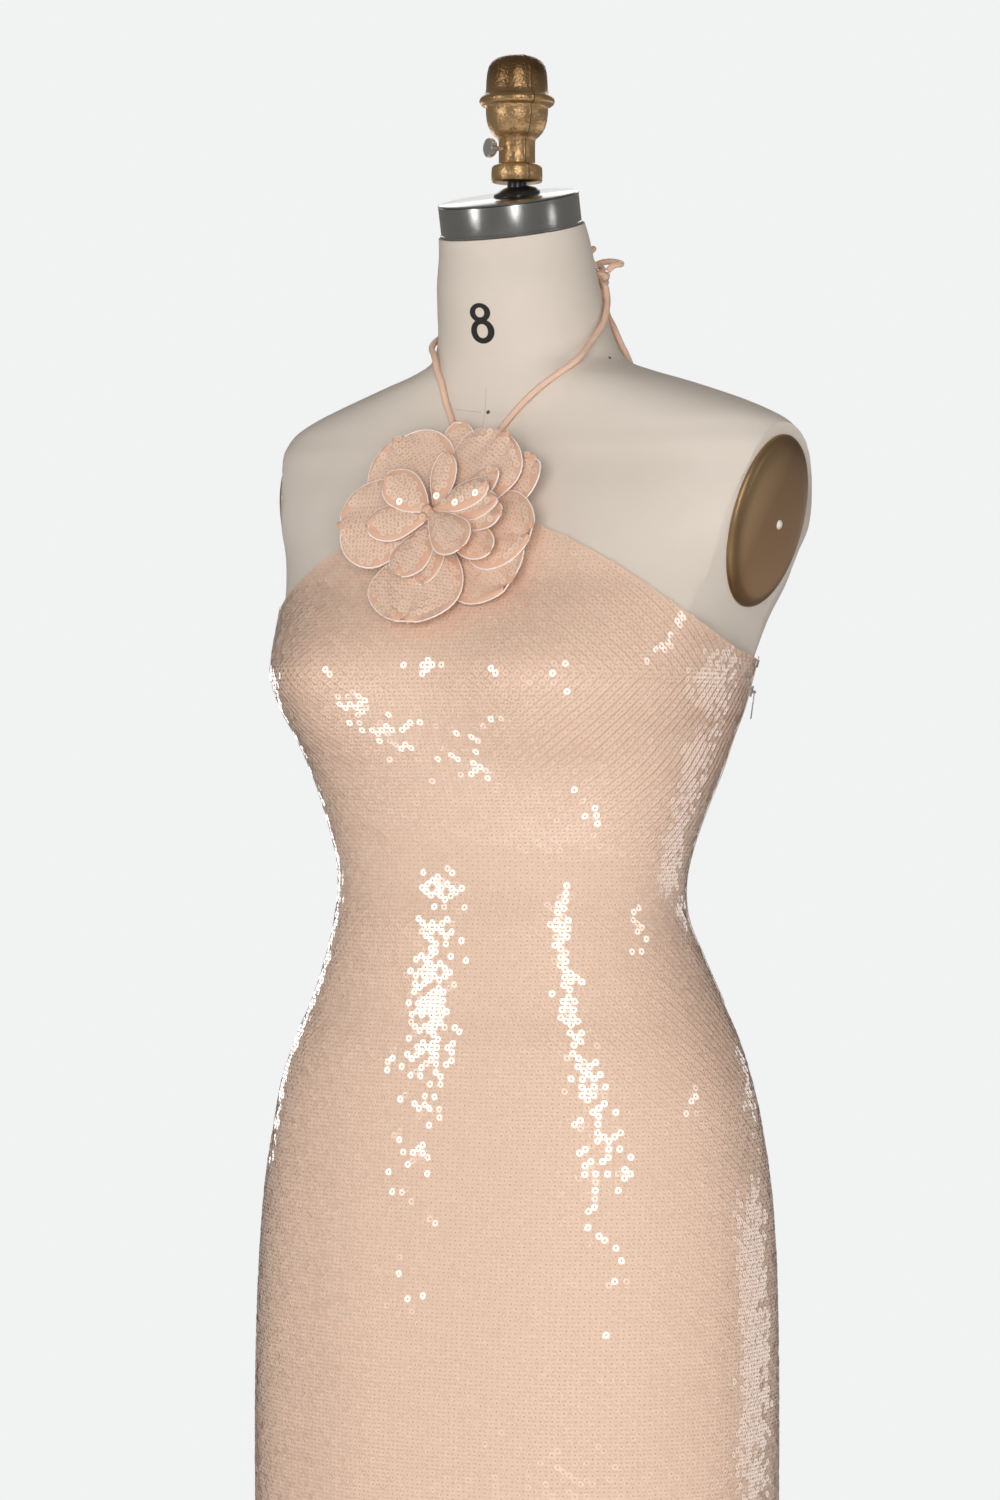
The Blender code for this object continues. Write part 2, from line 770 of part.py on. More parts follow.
def knot_end(heading):
    """Where a cord meets the knot, and a point a little further out along its heading."""
    way = Vector(HEADINGS[heading]).normalized()
    return [Vector(KNOT) + way * (KNOT_RADIUS + out) for out in (KNOT_ROOM, HEADING_REACH)]


def make_ties(torso):
    form = BVHTree.FromObject(torso, bpy.context.evaluated_depsgraph_get())
    on_figure = (
        # name, rows, spacing of the cord's points
        ("tie_left", TIE_LEFT, 10),
        ("tie_right", TIE_RIGHT, 10),
        ("bow_tail_outer", TAIL_OUTER, 6.5),
        ("bow_tail_inner", TAIL_INNER, 6.5),
    )
    for name, rows, spacing in on_figure:
        route = [off_figure(*row) for row in rows]
        if name.startswith("tie"):
            route.reverse()
        make_cord(name, knot_end(name) + route, form, spacing)
    for name, rows in (("bow_loop_side", LOOP_SIDE), ("bow_loop_up", LOOP_UP)):
        route = knot_end(name) + [Vector(row) for row in rows] + knot_end(f"{name}_back")[::-1]
        make_cord(name, route, form, 6)
    profile = []
    for k in range(1, 8):
        a = math.pi * (k / 8 - 0.5)
        profile.append((KNOT_RADIUS * math.cos(a), KNOT_RADIUS * math.sin(a)))
    turned("bow_knot", profile, "satin_rouleau", 14, Matrix.Translation(KNOT))


# ---------------------------------------------------------------- the zip
def zip_frame():
    """At the slider, on the seam: X level round the gown, Y up it and Z out of it."""
    height = UNDERARM - SLIDER_BELOW_TOP
    out = figure_normal(SEAM_TURN, height)
    level = Vector((0, 0, 1)).cross(out)
    return frame_matrix(off_figure(SEAM_TURN, height, GOWN_OUT + ZIP_THICK + 2 * GAP), level, out)


def rod(name, centre, axis, radius, half_length, slot, sides=12):
    """A round bar along an axis, with its origin at its centre."""
    place = frame_matrix(centre, (0, 0, 1), axis)
    rings = []
    for along in (-half_length, half_length):
        ring = []
        for k in range(sides):
            a = math.tau * k / sides
            ring.append(place @ Vector((radius * math.cos(a), radius * math.sin(a), along)))
        rings.append(ring)
    return solid(name, *stacked(rings), slot, origin=centre)


def combine(item, tool, operation):
    """Adds a Boolean with a hidden tool to an object."""
    tool.hide_render = True
    tool.display_type = "WIRE"
    step = item.modifiers.new(operation.lower(), "BOOLEAN")
    step.operation = operation
    step.object = tool


def make_zip_tape():
    """The chain up the left side seam, on the panels' own edges moved out."""
    heights = [row[0] for row in FIGURE if UNDERARM - ZIP_LENGTH <= row[0] < UNDERARM] + [UNDERARM + 2]
    grids = []
    for out in (GOWN_OUT + GAP + ZIP_THICK, GOWN_OUT + GAP):
        grid = []
        for height in heights:
            reach = Vector(figure_point(SEAM_TURN, height).xy).length
            spread = math.degrees(ZIP_HALF_WIDTH / reach)
            grid.append([off_figure(SEAM_TURN + spread * k, height, out) for k in (-1, 0, 1)])
        grids.append(grid)
    solid("zip_tape", *shell(*grids), "zip_tape")


def make_slider(place, pin):
    """The slider's body, two lugs on it and the pin between them."""
    width, thick, tall = SLIDER_SIZE
    slider = block("zip_slider", place, (-width / 2, -tall / 2, 0), (width / 2, tall / 2, thick), "zip_metal")
    top = thick + PIN_OUT + PIN_RADIUS + PIN_COVER
    for word, low in (("front", -LUG_INSIDE - LUG_THICK), ("back", LUG_INSIDE)):
        corners = ((low, -LUG_DEEP, thick / 2), (low + LUG_THICK, LUG_DEEP, top))
        combine(slider, block(f"lug_{word}", place, *corners, "zip_metal"), "UNION")
    across = place.col[0].xyz
    combine(slider, rod("pin", pin, across, PIN_RADIUS, LUG_INSIDE + LUG_THICK / 2, "zip_metal"), "UNION")


def make_pull(place, pin):
    """The pull tab, hanging close to the seam, with its origin on the pin."""
    across = place.col[0].xyz
    hang = Matrix((across, Vector((0, 0, 1)), across.cross((0, 0, 1)))).transposed().to_4x4()
    hang.translation = pin
    hang = hang @ Matrix.Rotation(math.radians(PULL_LEAN), 4, "X")
    tab = rod("zip_pull_tab", pin, across, HEAD_RADIUS, HEAD_HALF, "zip_metal", sides=16)
    parts = (
        # name, half width, lowest, highest
        ("pull_strap", HEAD_HALF - 0.1, -PULL_SHOULDER - 1, -HEAD_RADIUS + 0.4),
        ("pull_blade", PULL_WIDTH / 2, -PULL_LENGTH, -PULL_SHOULDER),
    )
    for name, half, low, high in parts:
        corners = ((-half, low, -PULL_THICK / 2), (half, high, PULL_THICK / 2))
        combine(tab, block(name, hang, *corners, "zip_metal"), "UNION")
    combine(tab, rod("pull_eye", pin, across, EYE_RADIUS, HEAD_HALF + 1, "zip_metal"), "DIFFERENCE")


def make_zip():
    make_zip_tape()
    place = zip_frame()
    pin = place @ Vector((0, 0, SLIDER_SIZE[1] + PIN_OUT))
    make_slider(place, pin)
    make_pull(place, pin)


def main():
    clear_scene()
    torso = make_torso()
    make_arm_plates()
    make_neck_hardware()
    make_finial()
    make_stand()
    front = make_gown()
    make_flower(front)
    make_ties(torso)
    make_zip()


main()
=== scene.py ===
"""How the halter evening gown and its dress form look.

Tables and sizes are millimetres and MM turns them into metres. +Z is up the pole, the form faces -Y
and +X is the wearer's left. A turn is an angle round the pole in degrees: 0 is +X, 270 the front.
"""

import math

import bmesh
import bpy
import numpy as np
from mathutils import Matrix, Vector, noise
from mathutils.bvhtree import BVHTree


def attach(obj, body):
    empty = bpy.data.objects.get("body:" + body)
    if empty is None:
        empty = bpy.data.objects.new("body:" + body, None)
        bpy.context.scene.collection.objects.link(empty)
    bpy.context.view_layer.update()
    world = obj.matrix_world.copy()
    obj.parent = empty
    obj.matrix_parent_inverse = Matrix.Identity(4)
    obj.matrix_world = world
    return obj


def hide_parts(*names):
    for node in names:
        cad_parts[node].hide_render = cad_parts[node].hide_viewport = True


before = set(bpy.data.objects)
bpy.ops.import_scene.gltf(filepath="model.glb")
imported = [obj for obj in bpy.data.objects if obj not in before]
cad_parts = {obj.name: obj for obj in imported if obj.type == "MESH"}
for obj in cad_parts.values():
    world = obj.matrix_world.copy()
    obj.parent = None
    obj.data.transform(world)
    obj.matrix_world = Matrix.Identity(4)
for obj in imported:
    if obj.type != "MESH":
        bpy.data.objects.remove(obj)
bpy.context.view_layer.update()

MM = 0.001
BODY = "gown_on_form"
PULL = "pull"

UP = Vector((0, 0, 1))


def add_object(name, data):
    item = bpy.data.objects.new(name, data)
    bpy.context.scene.collection.objects.link(item)
    return item


# ---------------------------------------------------------------- the camera
VIEW_TURN = math.radians(28)
CAMERA_AWAY = 2900
CAMERA_LEFT = 11.3
CAMERA_HEIGHT = 1152
LENS = 104.4
SENSOR = 36


def make_camera():
    data = bpy.data.cameras.new("camera")
    data.sensor_width = SENSOR
    data.lens = LENS
    data.clip_end = 100
    item = add_object("camera", data)
    s, c = math.sin(VIEW_TURN), math.cos(VIEW_TURN)
    x = CAMERA_AWAY * s - CAMERA_LEFT * c
    y = -CAMERA_AWAY * c - CAMERA_LEFT * s
    item.location = (x * MM, y * MM, CAMERA_HEIGHT * MM)
    item.rotation_euler = (math.radians(90), 0, VIEW_TURN)
    bpy.context.scene.camera = item


make_camera()

# ---------------------------------------------------------------- the figure
SEAM_TURN = 18
FRONT_TURN = 270
BACK_TURN = 90
FORM_BOTTOM = 700
HEM = 45
GOWN_CLEARANCE = 1.8
GOWN_WALL = 1.4
BUST_ACROSS = 86
BUST_SPREAD = 54
BUST_BLEND = 0.6
NECK_TOP = 1497.5
NECK_LEAN_FROM = 1425
NECK_LEAN = math.tan(math.radians(13.6))
NECK_CENTRE_Y = -7.5

# Half widths and depths of the figure at each height. Below the form's lower edge the rows are the
# line of the hanging skirt. front_square and back_square are superellipse exponents.
FIGURE = (
    # height, half_width, centre_y, front, back, front_square, back_square, bust
    (45, 182, 0, 136, 124, 2.1, 2.1, 0),
    (300, 174, 0, 130, 114, 2.2, 2.2, 0),
    (520, 177, 0, 133, 113, 2.2, 2.2, 0),
    (700, 178.5, 0, 133.5, 113.5, 2.2, 2.2, 0),
    (780, 178, 0, 129.5, 112.5, 2.2, 2.2, 0),
    (825, 176.5, 0, 125, 111.5, 2.2, 2.2, 0),
    (865, 173, 0, 122, 111.5, 2.2, 2.2, 0),
    (900, 167, 0, 119, 111, 2.2, 2.2, 0),
    (930, 160.5, -1, 116, 110, 2.2, 2.2, 0),
    (960, 149, 0, 114, 110, 2.2, 2.2, 0),
    (985, 137.5, -1, 106, 105, 2.2, 2.2, 0),
    (1015, 125.5, -4, 99, 95.5, 2.2, 2.2, 0),
    (1040, 118, -8, 92.5, 85.5, 2.2, 2.2, 0),
    (1065, 117, -8, 86, 81.5, 2.2, 2.2, 0),
    (1090, 121.5, -7, 87.5, 87.5, 2.2, 2.2, 0),
    (1115, 128.3, -3.5, 97.5, 97, 2.25, 2.2, 0),
    (1140, 136.2, -0.5, 109, 106, 2.3, 2.25, 2.9),
    (1160, 141.7, 0.5, 117, 112, 2.35, 2.3, 11.9),
    (1180, 149.5, -1, 124, 117, 2.45, 2.35, 15.9),
    (1199, 154.5, -2, 128, 122, 2.5, 2.4, 19.6),
    (1215, 157, 0, 127, 126, 2.5, 2.5, 15.9),
    (1240, 161, 6, 121, 132, 2.45, 2.7, 7.3),
    (1262, 168, 14, 117, 127, 2.3, 3.0, 0),
    (1285, 178, 20, 111.5, 118, 2.1, 3.0, 0),
    (1302, 190, 24, 106, 108, 2.0, 2.8, 0),
    (1320, 196, 27, 98, 99, 2.0, 2.6, 0),
    (1340, 197, 29, 88, 90, 2.0, 2.4, 0),
    (1352, 195, 29, 83, 83, 2.0, 2.3, 0),
    (1361, 189, 29, 79, 79, 2.0, 2.2, 0),
    (1369, 181, 28, 75, 74, 2.0, 2.1, 0),
    (1376, 168, 28, 73, 70, 2.0, 2.0, 0),
    (1383, 151, 29, 73, 66, 2.0, 2.0, 0),
    (1390, 131, 29.5, 73, 62, 2.0, 2.0, 0),
    (1397, 109.5, 29, 72, 59, 2.0, 2.0, 0),
    (1404, 86, 28, 71, 57, 2.0, 2.0, 0),
    (1411, 68, 21, 65, 61, 2.0, 2.0, 0),
    (1425, 59, 14.5, 62.5, 62.5, 2.0, 2.0, 0),
    (1445, 55, 6.5, 60, 60, 2.0, 2.0, 0),
    (1465, 52.5, 0, 56, 56, 2.0, 2.0, 0),
    (1485, 50, -3.5, 51.5, 51.5, 2.0, 2.0, 0),
    (1497.5, 48.5, -7.5, 49, 49, 2.0, 2.0, 0),
)

# The front's top edge: how high the cloth reaches at each turn away from the centre line.
NECKLINE = (
    # turn_from_front, height
    (0, 1338), (9, 1336), (18, 1321), (27, 1299.5), (36, 1290), (45, 1278.5), (54, 1263.5),
    (63, 1248), (72, 1236), (81, 1226), (90, 1219), (99, 1215), (108, 1213),
)
UNDERARM = NECKLINE[-1][1]
BACK_DIP = 16


def between(rows, at):
    """The table's other columns at a value of its first one, on a smooth curve through its rows."""
    at = min(max(at, rows[0][0]), rows[-1][0])
    k = next(i for i in range(1, len(rows)) if at <= rows[i][0])
    low, high = rows[k - 1], rows[k]
    before, after = rows[max(k - 2, 0)], rows[min(k + 1, len(rows) - 1)]
    span = high[0] - low[0]
    t = (at - low[0]) / span
    found = []
    for c in range(1, len(low)):
        into = (high[c] - before[c]) / (high[0] - before[0]) * span
        out = (after[c] - low[c]) / (after[0] - low[0]) * span
        found.append(
            low[c] * (2 * t**3 - 3 * t**2 + 1)
            + into * (t**3 - 2 * t**2 + t)
            + high[c] * (3 * t**2 - 2 * t**3)
            + out * (t**3 - t**2)
        )
    return found


def ease(t):
    t = min(max(t, 0), 1)
    return t * t * (3 - 2 * t)


SECTIONS = {}


def section(height):
    """The figure's row at a height, worked out once."""
    key = round(height, 3)
    if key not in SECTIONS:
        SECTIONS[key] = between(FIGURE, height)
    return SECTIONS[key]


def figure_point(turn, height):
    """The point of the figure at a turn round the pole and a height."""
    width, centre, front, back, front_square, back_square, bust = section(height)
    c, s = math.cos(math.radians(turn)), math.sin(math.radians(turn))
    depth, square = (front, front_square) if s < 0 else (back, back_square)
    reach = ((abs(c) / width) ** square + (abs(s) / depth) ** square) ** (-1 / square)
    x, y = reach * c, centre + reach * s
    if s < 0 and bust:
        swell = sum(math.exp(-(((x - side * BUST_ACROSS) / BUST_SPREAD) ** 2)) for side in (1, -1))
        y -= bust * swell * ease(-s / BUST_BLEND)
    lean = NECK_LEAN * ease((height - NECK_LEAN_FROM) / (NECK_TOP - NECK_LEAN_FROM))
    return Vector((x, y, height + lean * (y - NECK_CENTRE_Y)))


def figure_normal(turn, height):
    """The outward direction of the figure there."""
    along = figure_point(turn + 1, height) - figure_point(turn - 1, height)
    up = figure_point(turn, height + 1) - figure_point(turn, height - 1)
    return along.cross(up).normalized()


def off_figure(turn, height, out):
    return figure_point(turn, height) + figure_normal(turn, height) * out


def neckline_height(turn):
    return between(NECKLINE, abs(turn - FRONT_TURN))[0]


def back_edge_height(turn):
    share = math.cos(math.radians(turn - BACK_TURN) * 90 / (BACK_TURN - SEAM_TURN))
    return UNDERARM - BACK_DIP * share**2


def top_edge(turn):
    """How high the gown's cloth reaches at a turn."""
    turn %= 360
    if SEAM_TURN <= turn <= 180 - SEAM_TURN:
        return back_edge_height(turn)
    return neckline_height(turn + 360 if turn < SEAM_TURN else turn)


# ---------------------------------------------------------------- materials
def new_material(name):
    made = bpy.data.materials.new(name)
    made.use_nodes = True
    return made, made.node_tree.nodes["Principled BSDF"]


def set_inputs(node, values):
    for socket, value in values.items():
        node.inputs[socket].default_value = value


def finish(name, colour, roughness, metallic=0.0, coat=0.0, coat_roughness=0.1, specular=0.5, coat_ior=1.5):
    """A plain Principled material with its values on the shader's own sockets."""
    made, shader = new_material(name)
    set_inputs(shader, {
        "Base Color": (*colour, 1),
        "Roughness": roughness,
        "Metallic": metallic,
        "Coat Weight": coat,
        "Coat Roughness": coat_roughness,
        "Coat IOR": coat_ior,
        "Specular IOR Level": specular,
    })
    return made


def add_node(made, kind, values, links):
    """A node of the material with its own values, and the sockets that lead into it."""
    node = made.node_tree.nodes.new(kind)
    set_inputs(node, values)
    for socket, source in links.items():
        made.node_tree.links.new(source, node.inputs[socket])
    return node


def to_shader(made, source, socket):
    made.node_tree.links.new(source, made.node_tree.nodes["Principled BSDF"].inputs[socket])


def own_place(made):
    """The object's own coordinates."""
    return made.node_tree.nodes.new("ShaderNodeTexCoord").outputs["Object"]


def add_bump(made, height, strength, distance):
    """Bumps the material's shader from a height."""
    bump = add_node(made, "ShaderNodeBump", {"Strength": strength, "Distance": distance}, {"Height": height})
    to_shader(made, bump.outputs["Normal"], "Normal")


def noise_node(made, scale, detail=2.0, stretch=(1, 1, 1)):
    """Noise in the object's own coordinates, stretched along its axes."""
    mapping = add_node(made, "ShaderNodeMapping", {"Scale": stretch}, {"Vector": own_place(made)})
    values = {"Scale": scale, "Detail": detail}
    grain = add_node(made, "ShaderNodeTexNoise", values, {"Vector": mapping.outputs["Vector"]})
    return grain.outputs["Fac"]


def slope_node(made, direction, start, end):
    """A value from 0 to 1 between two distances along a direction in the object's own coordinates."""
    along = add_node(made, "ShaderNodeVectorMath", {1: direction}, {0: own_place(made)})
    along.operation = "DOT_PRODUCT"
    values = {"From Min": start, "From Max": end}
    return add_node(made, "ShaderNodeMapRange", values, {"Value": along.outputs["Value"]}).outputs["Result"]


def blend_nodes(made, first, second, share):
    """Two values in one, the second with the given share."""
    mixed = add_node(made, "ShaderNodeMix", {0: share}, {2: first, 3: second})
    mixed.data_type = "FLOAT"
    return mixed.outputs[0]


def tint(made, factor, low, high, from_low=0.35, from_high=0.65):
    """Colours the material between two colours by a factor."""
    ramp = add_node(made, "ShaderNodeValToRGB", {}, {"Fac": factor})
    for element, position, colour in zip(ramp.color_ramp.elements, (from_low, from_high), (low, high)):
        element.position = position
        element.color = (*colour, 1)
    to_shader(made, ramp.outputs["Color"], "Base Color")


def make_materials():
    plain = (
        # name, colour, roughness, other values
        ("sequin", (0.90, 0.635, 0.475), 0.5, {"coat": 1.0, "coat_roughness": 0.06, "coat_ior": 2.0}),
        ("sequin_hole", (0.57, 0.42, 0.335), 0.85, {"specular": 0.1}),
        ("net", (0.82, 0.57, 0.425), 0.8, {}),
        # The petal cloth's deeper orange-brown is partly its own colour and partly painted shade for the gaps
        # between the petals.
        ("petal_cloth", (0.76, 0.47, 0.33), 0.75, {}),
        ("petal_edge", (0.97, 0.88, 0.83), 0.5, {"coat": 0.5, "coat_roughness": 0.2}),
        ("satin", (0.82, 0.55, 0.41), 0.42, {"specular": 0.6}),
        ("zip_nickel", (0.60, 0.58, 0.55), 0.28, {"metallic": 1.0}),
        ("zip_tape", (0.62, 0.46, 0.35), 0.75, {}),
        ("zip_stop", (0.30, 0.29, 0.26), 0.4, {"metallic": 0.7}),
        ("print", (0.018, 0.017, 0.016), 0.6, {}),
        ("thread", (0.50, 0.45, 0.38), 0.85, {}),
        ("rod_black", (0.012, 0.012, 0.013), 0.28, {"coat": 0.4}),
        ("enamel", (0.78, 0.73, 0.64), 0.35, {}),
        ("pin_head", (0.16, 0.15, 0.14), 0.3, {"metallic": 0.9}),
        ("canvas", (0.76, 0.67, 0.58), 0.9, {"specular": 0.25}),
        ("steel", (0.50, 0.49, 0.47), 0.23, {"metallic": 1.0}),
        ("steel_plain", (0.86, 0.84, 0.80), 0.22, {"metallic": 1.0}),
        ("gold", (0.66, 0.43, 0.21), 0.31, {"metallic": 1.0}),
        ("gold_line", (0.16, 0.08, 0.03), 0.5, {"metallic": 1.0}),
        ("plate", (0.28, 0.165, 0.082), 0.42, {"metallic": 1.0}),
        ("iron", (0.035, 0.035, 0.037), 0.5, {"metallic": 0.3}),
    )
    grains = (
        # name, noise scale, detail, stretch, bump strength, bump distance
        ("canvas", 900, 2, (1, 1, 1), 0.25, 0.0003),
        ("steel", 60, 3, (1, 1, 28), 0.12, 0.0004),
        ("gold", 520, 3, (1, 1, 1), 0.6, 0.0008),
        ("plate", 300, 2, (1, 1, 1), 0.15, 0.0003),
        ("iron", 160, 2, (1, 1, 1), 0.3, 0.0004),
    )
    made = {name: finish(name, colour, roughness, **others) for name, colour, roughness, others in plain}
    for name, scale, detail, stretch, strength, distance in grains:
        add_bump(made[name], noise_node(made[name], scale, detail, stretch), strength, distance)
    canvas, gold, plate = made["canvas"], made["gold"], made["plate"]
    tint(canvas, noise_node(canvas, 9, 3), (0.71, 0.625, 0.54), (0.75, 0.665, 0.58))
    # The finial is darker towards its top, which is painted shade, and its tone is uneven all over.
    uneven_tone_and_painted_shade = blend_nodes(gold, noise_node(gold, 55, 4), slope_node(gold, (0, 0, -1), -1.604, -1.580), 0.55)
    tint(gold, uneven_tone_and_painted_shade, (0.17, 0.08, 0.03), (0.80, 0.51, 0.25), 0.14, 0.82)
    # The plates are palest at their upper front, which is a painted highlight.
    shine = slope_node(plate, (0, -0.9, 0.44), 0.56, 0.625)
    tint(plate, shine, (0.27, 0.155, 0.075), (0.72, 0.50, 0.27), 0.0, 1.0)
    return made


LOOK = make_materials()


# ---------------------------------------------------------------- making pieces
def piece(name, mesh, *looks, body=BODY, slot=None, replaces=()):
    """A piece of the object that rides on a body."""
    item = add_object(name, mesh)
    for look in looks:
        item.data.materials.append(LOOK[look])
    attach(item, body)
    if replaces:
        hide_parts(*replaces)
    return item


def in_place(name, shape, look, slot, sharp=50, body=BODY):
    """The finer form of the solid of that name, from its points and faces."""
    return piece(name, surface(name, *shape, sharp=sharp), look, body=body, slot=slot, replaces=(name,))


def extra(name, shape, look, slot, smooth=True, sharp=50):
    """A piece that no solid stands for."""
    return piece(name, surface(name, *shape, smooth, sharp), look, slot=slot)


def circle(count):
    """Cosines and sines of even steps round a circle."""
    return [(math.cos(math.tau * k / count), math.sin(math.tau * k / count)) for k in range(count)]


def surface(name, points, faces, smooth=True, sharp=50):
    """A mesh from points in millimetres, with its faces turned outward."""
    mesh = bpy.data.meshes.new(name)
    mesh.from_pydata([tuple(c * MM for c in p) for p in points], [], [tuple(f) for f in faces])
    work = bmesh.new()
    work.from_mesh(mesh)
    bmesh.ops.recalc_face_normals(work, faces=work.faces)
    work.to_mesh(mesh)
    work.free()
    if smooth:
        mesh.shade_smooth()
        mesh.set_sharp_from_angle(angle=math.radians(sharp))
    return mesh


def wall(outer, inner):
    """Points and faces of the closed wall between two open grids of the same size."""
    rows, columns = len(outer), len(outer[0])
    points = [p for row in outer for p in row] + [p for row in inner for p in row]
    back = rows * columns

    def at(row, column, side):
        return side + row * columns + column

    faces = []
    for side in (0, back):
        for r in range(rows - 1):
            for c in range(columns - 1):
                faces.append((at(r, c, side), at(r, c + 1, side), at(r + 1, c + 1, side), at(r + 1, c, side)))
    for c in range(columns - 1):
        for r in (0, rows - 1):
            faces.append((at(r, c, 0), at(r, c + 1, 0), at(r, c + 1, back), at(r, c, back)))
    for r in range(rows - 1):
        for c in (0, columns - 1):
            faces.append((at(r, c, 0), at(r + 1, c, 0), at(r + 1, c, back), at(r, c, back)))
    return points, faces


def stacked(rings):
    """Points and faces of a closed body through rings of equal size, capped at both ends."""
    count = len(rings[0])
    points = [p for ring in rings for p in ring]
    faces = []
    for r in range(len(rings) - 1):
        for c in range(count):
            d = (c + 1) % count
            faces.append((r * count + c, r * count + d, (r + 1) * count + d, (r + 1) * count + c))
    faces.append(tuple(range(count)))
    faces.append(tuple(range(len(points) - count, len(points))))
    return points, faces


def lathe(profile, sides, place=None, wave=None):
    """Points and faces turned from (radius, height) rows about Z, then moved by place."""
    place = place or Matrix()
    rings = []
    for radius, height in profile:
        reach = [radius * (wave(math.tau * k / sides, height) if wave else 1) for k in range(sides)]
        rings.append([place @ Vector((r * c, r * s, height)) for r, (c, s) in zip(reach, circle(sides))])
    return stacked(rings)


def axes_matrix(x, y, z, origin):
    """The matrix of a frame at origin with these three axes."""
    matrix = Matrix((x, y, z)).transposed().to_4x4()
    matrix.translation = Vector(origin)
    return matrix


def frame_matrix(origin, x_axis, z_axis):
    """The matrix of a right-handed frame at origin, with its Z along z_axis and X near x_axis."""
    z = Vector(z_axis).normalized()
    y = z.cross(Vector(x_axis)).normalized()
    return axes_matrix(y.cross(z), y, z, origin)


def tube(line, radius, sides=8, closed=False):
    """Points and faces of a round tube along a line of points."""
    line = [Vector(p) for p in line]
    rings = []
    side = None
    for k, p in enumerate(line):
        before = line[k - 1] if k or closed else p
        after = line[(k + 1) % len(line)] if k < len(line) - 1 or closed else p
        along = (after - before).normalized()
        if side is None:
            side = along.orthogonal().normalized()
        side = (side - along * side.dot(along)).normalized()
        other = along.cross(side)
        rings.append([p + (side * c + other * s) * radius for c, s in circle(sides)])
    points, faces = stacked(rings)
    if closed:
        last = (len(line) - 1) * sides
        faces = faces[:-2] + [(last + c, last + (c + 1) % sides, (c + 1) % sides, c) for c in range(sides)]
    return points, faces


def joined(parts):
    """Several (points, faces) as one."""
    points, faces = [], []
    for more, rows in parts:
        start = len(points)
        points += list(more)
        faces += [tuple(start + i for i in row) for row in rows]
    return points, faces


# ---------------------------------------------------------------- the ties and their bow
TIE_DIAMETER = 4.2
CORD_CLEARANCE = 0.6
KNOT = (38.6, 47.7, 1470)
KNOT_RADIUS = 6
KNOT_ROOM = 6
KNOT_CORE_IN = 1.2
# Each wrap's lean, and how far inside the knot's radius it lies.
KNOT_WRAPS = ((0.5, 1.5), (-0.35, 1.9))
# The cord is pulled this much thinner in the knot.
KNOT_PULLED = 0.85
TIE_LEFT = (
    # turn, height, off the figure
    (275.5, 1341, 3.4), (278, 1350, 3.2), (281, 1360, 3.2), (289.5, 1375, 3.2),
    (300, 1389, 4.0), (317, 1404.5, 3.9), (338, 1420.5, 3.0), (349, 1428, 3.0),
    (360, 1435, 3.0), (372, 1443, 3.0), (384, 1450, 3.4), (393, 1457.5, 3.6),
)
TIE_RIGHT = (
    # turn, height, off the figure
    (264.5, 1341, 3.4), (259, 1354, 3.2), (253.5, 1368, 3.2), (248, 1382, 3.2),
    (245, 1393, 3.2), (238, 1404, 3.2), (228, 1413, 3.0), (212, 1421, 3.0), (192, 1428, 3.0),
    (168, 1435, 3.0), (142, 1441, 3.0), (116, 1446, 3.0), (92, 1452, 3.0), (74, 1459, 4.0),
)
TAIL_OUTER = (
    # turn, height, off the figure
    (51, 1449, 5.0), (48, 1442, 3.2), (42, 1436, 3.2), (37, 1429, 3.2), (35, 1420, 3.2),
    (38, 1411, 3.2), (47, 1402, 3.2), (57, 1390, 3.2), (63, 1372, 3.2), (66, 1350, 3.2),
    (68, 1328, 3.2),
)
TAIL_INNER = (
    # turn, height, off the figure
    (60, 1449, 4.5), (57, 1441, 3.2), (51, 1433, 3.2), (46, 1425, 3.2), (45, 1416, 3.2),
    (52, 1405, 3.2), (63, 1393, 3.2), (70, 1376, 3.2), (74, 1358, 3.2), (76, 1341, 3.2),
)
LOOP_SIDE = (
    # left, back, height
    (46.8, 62.2, 1479.8), (38.4, 65, 1482), (30.1, 64.7, 1481.5), (25, 63, 1477.5),
    (31, 65.5, 1472),
)
LOOP_UP = (
    # left, back, height
    (27.5, 50.5, 1485.5), (29.5, 56, 1490.5), (24, 58.5, 1487.5), (27, 57.5, 1481),
)
HEADINGS = {
    # cord's end: (left, back, up) as it leaves the knot
    "tie_left": (0.43, -0.78, -0.46),
    "tie_right": (-0.9, 0.42, 0.1),
    "bow_tail_outer": (0.05, 0.12, -0.99),
    "bow_tail_inner": (-0.6, 0.5, -0.62),
    "bow_loop_side": (0.6, 0.45, 0.66),
    "bow_loop_side_back": (-0.15, 0.96, -0.22),
    "bow_loop_up": (-0.5, -0.1, 0.86),
    "bow_loop_up_back": (-0.3, 0.75, 0.59),
}


def smooth_points(route, spacing):
    """Points at about an even spacing on a smooth curve through the route's own points."""
    route = [Vector(p) for p in route]
    dense = []
    for k in range(len(route) - 1):
        a, b, c, d = route[max(k - 1, 0)], route[k], route[k + 1], route[min(k + 2, len(route) - 1)]
        for t in (i / 12 for i in range(12)):
            bend, twist = 2 * a - 5 * b + 4 * c - d, 3 * b - a - 3 * c + d
            dense.append(0.5 * (2 * b + (c - a) * t + bend * t**2 + twist * t**3))
    dense.append(route[-1])
    length = sum((q - p).length for p, q in zip(dense, dense[1:]))
    count = max(round(length / spacing), 3)
    found, walked, k = [dense[0]], 0, 0
    for i in range(1, count):
        target = length * i / count
        while walked + (dense[k + 1] - dense[k]).length < target:
            walked += (dense[k + 1] - dense[k]).length
            k += 1
        part = (target - walked) / (dense[k + 1] - dense[k]).length
        found.append(dense[k].lerp(dense[k + 1], part))
    return found + [dense[-1]]


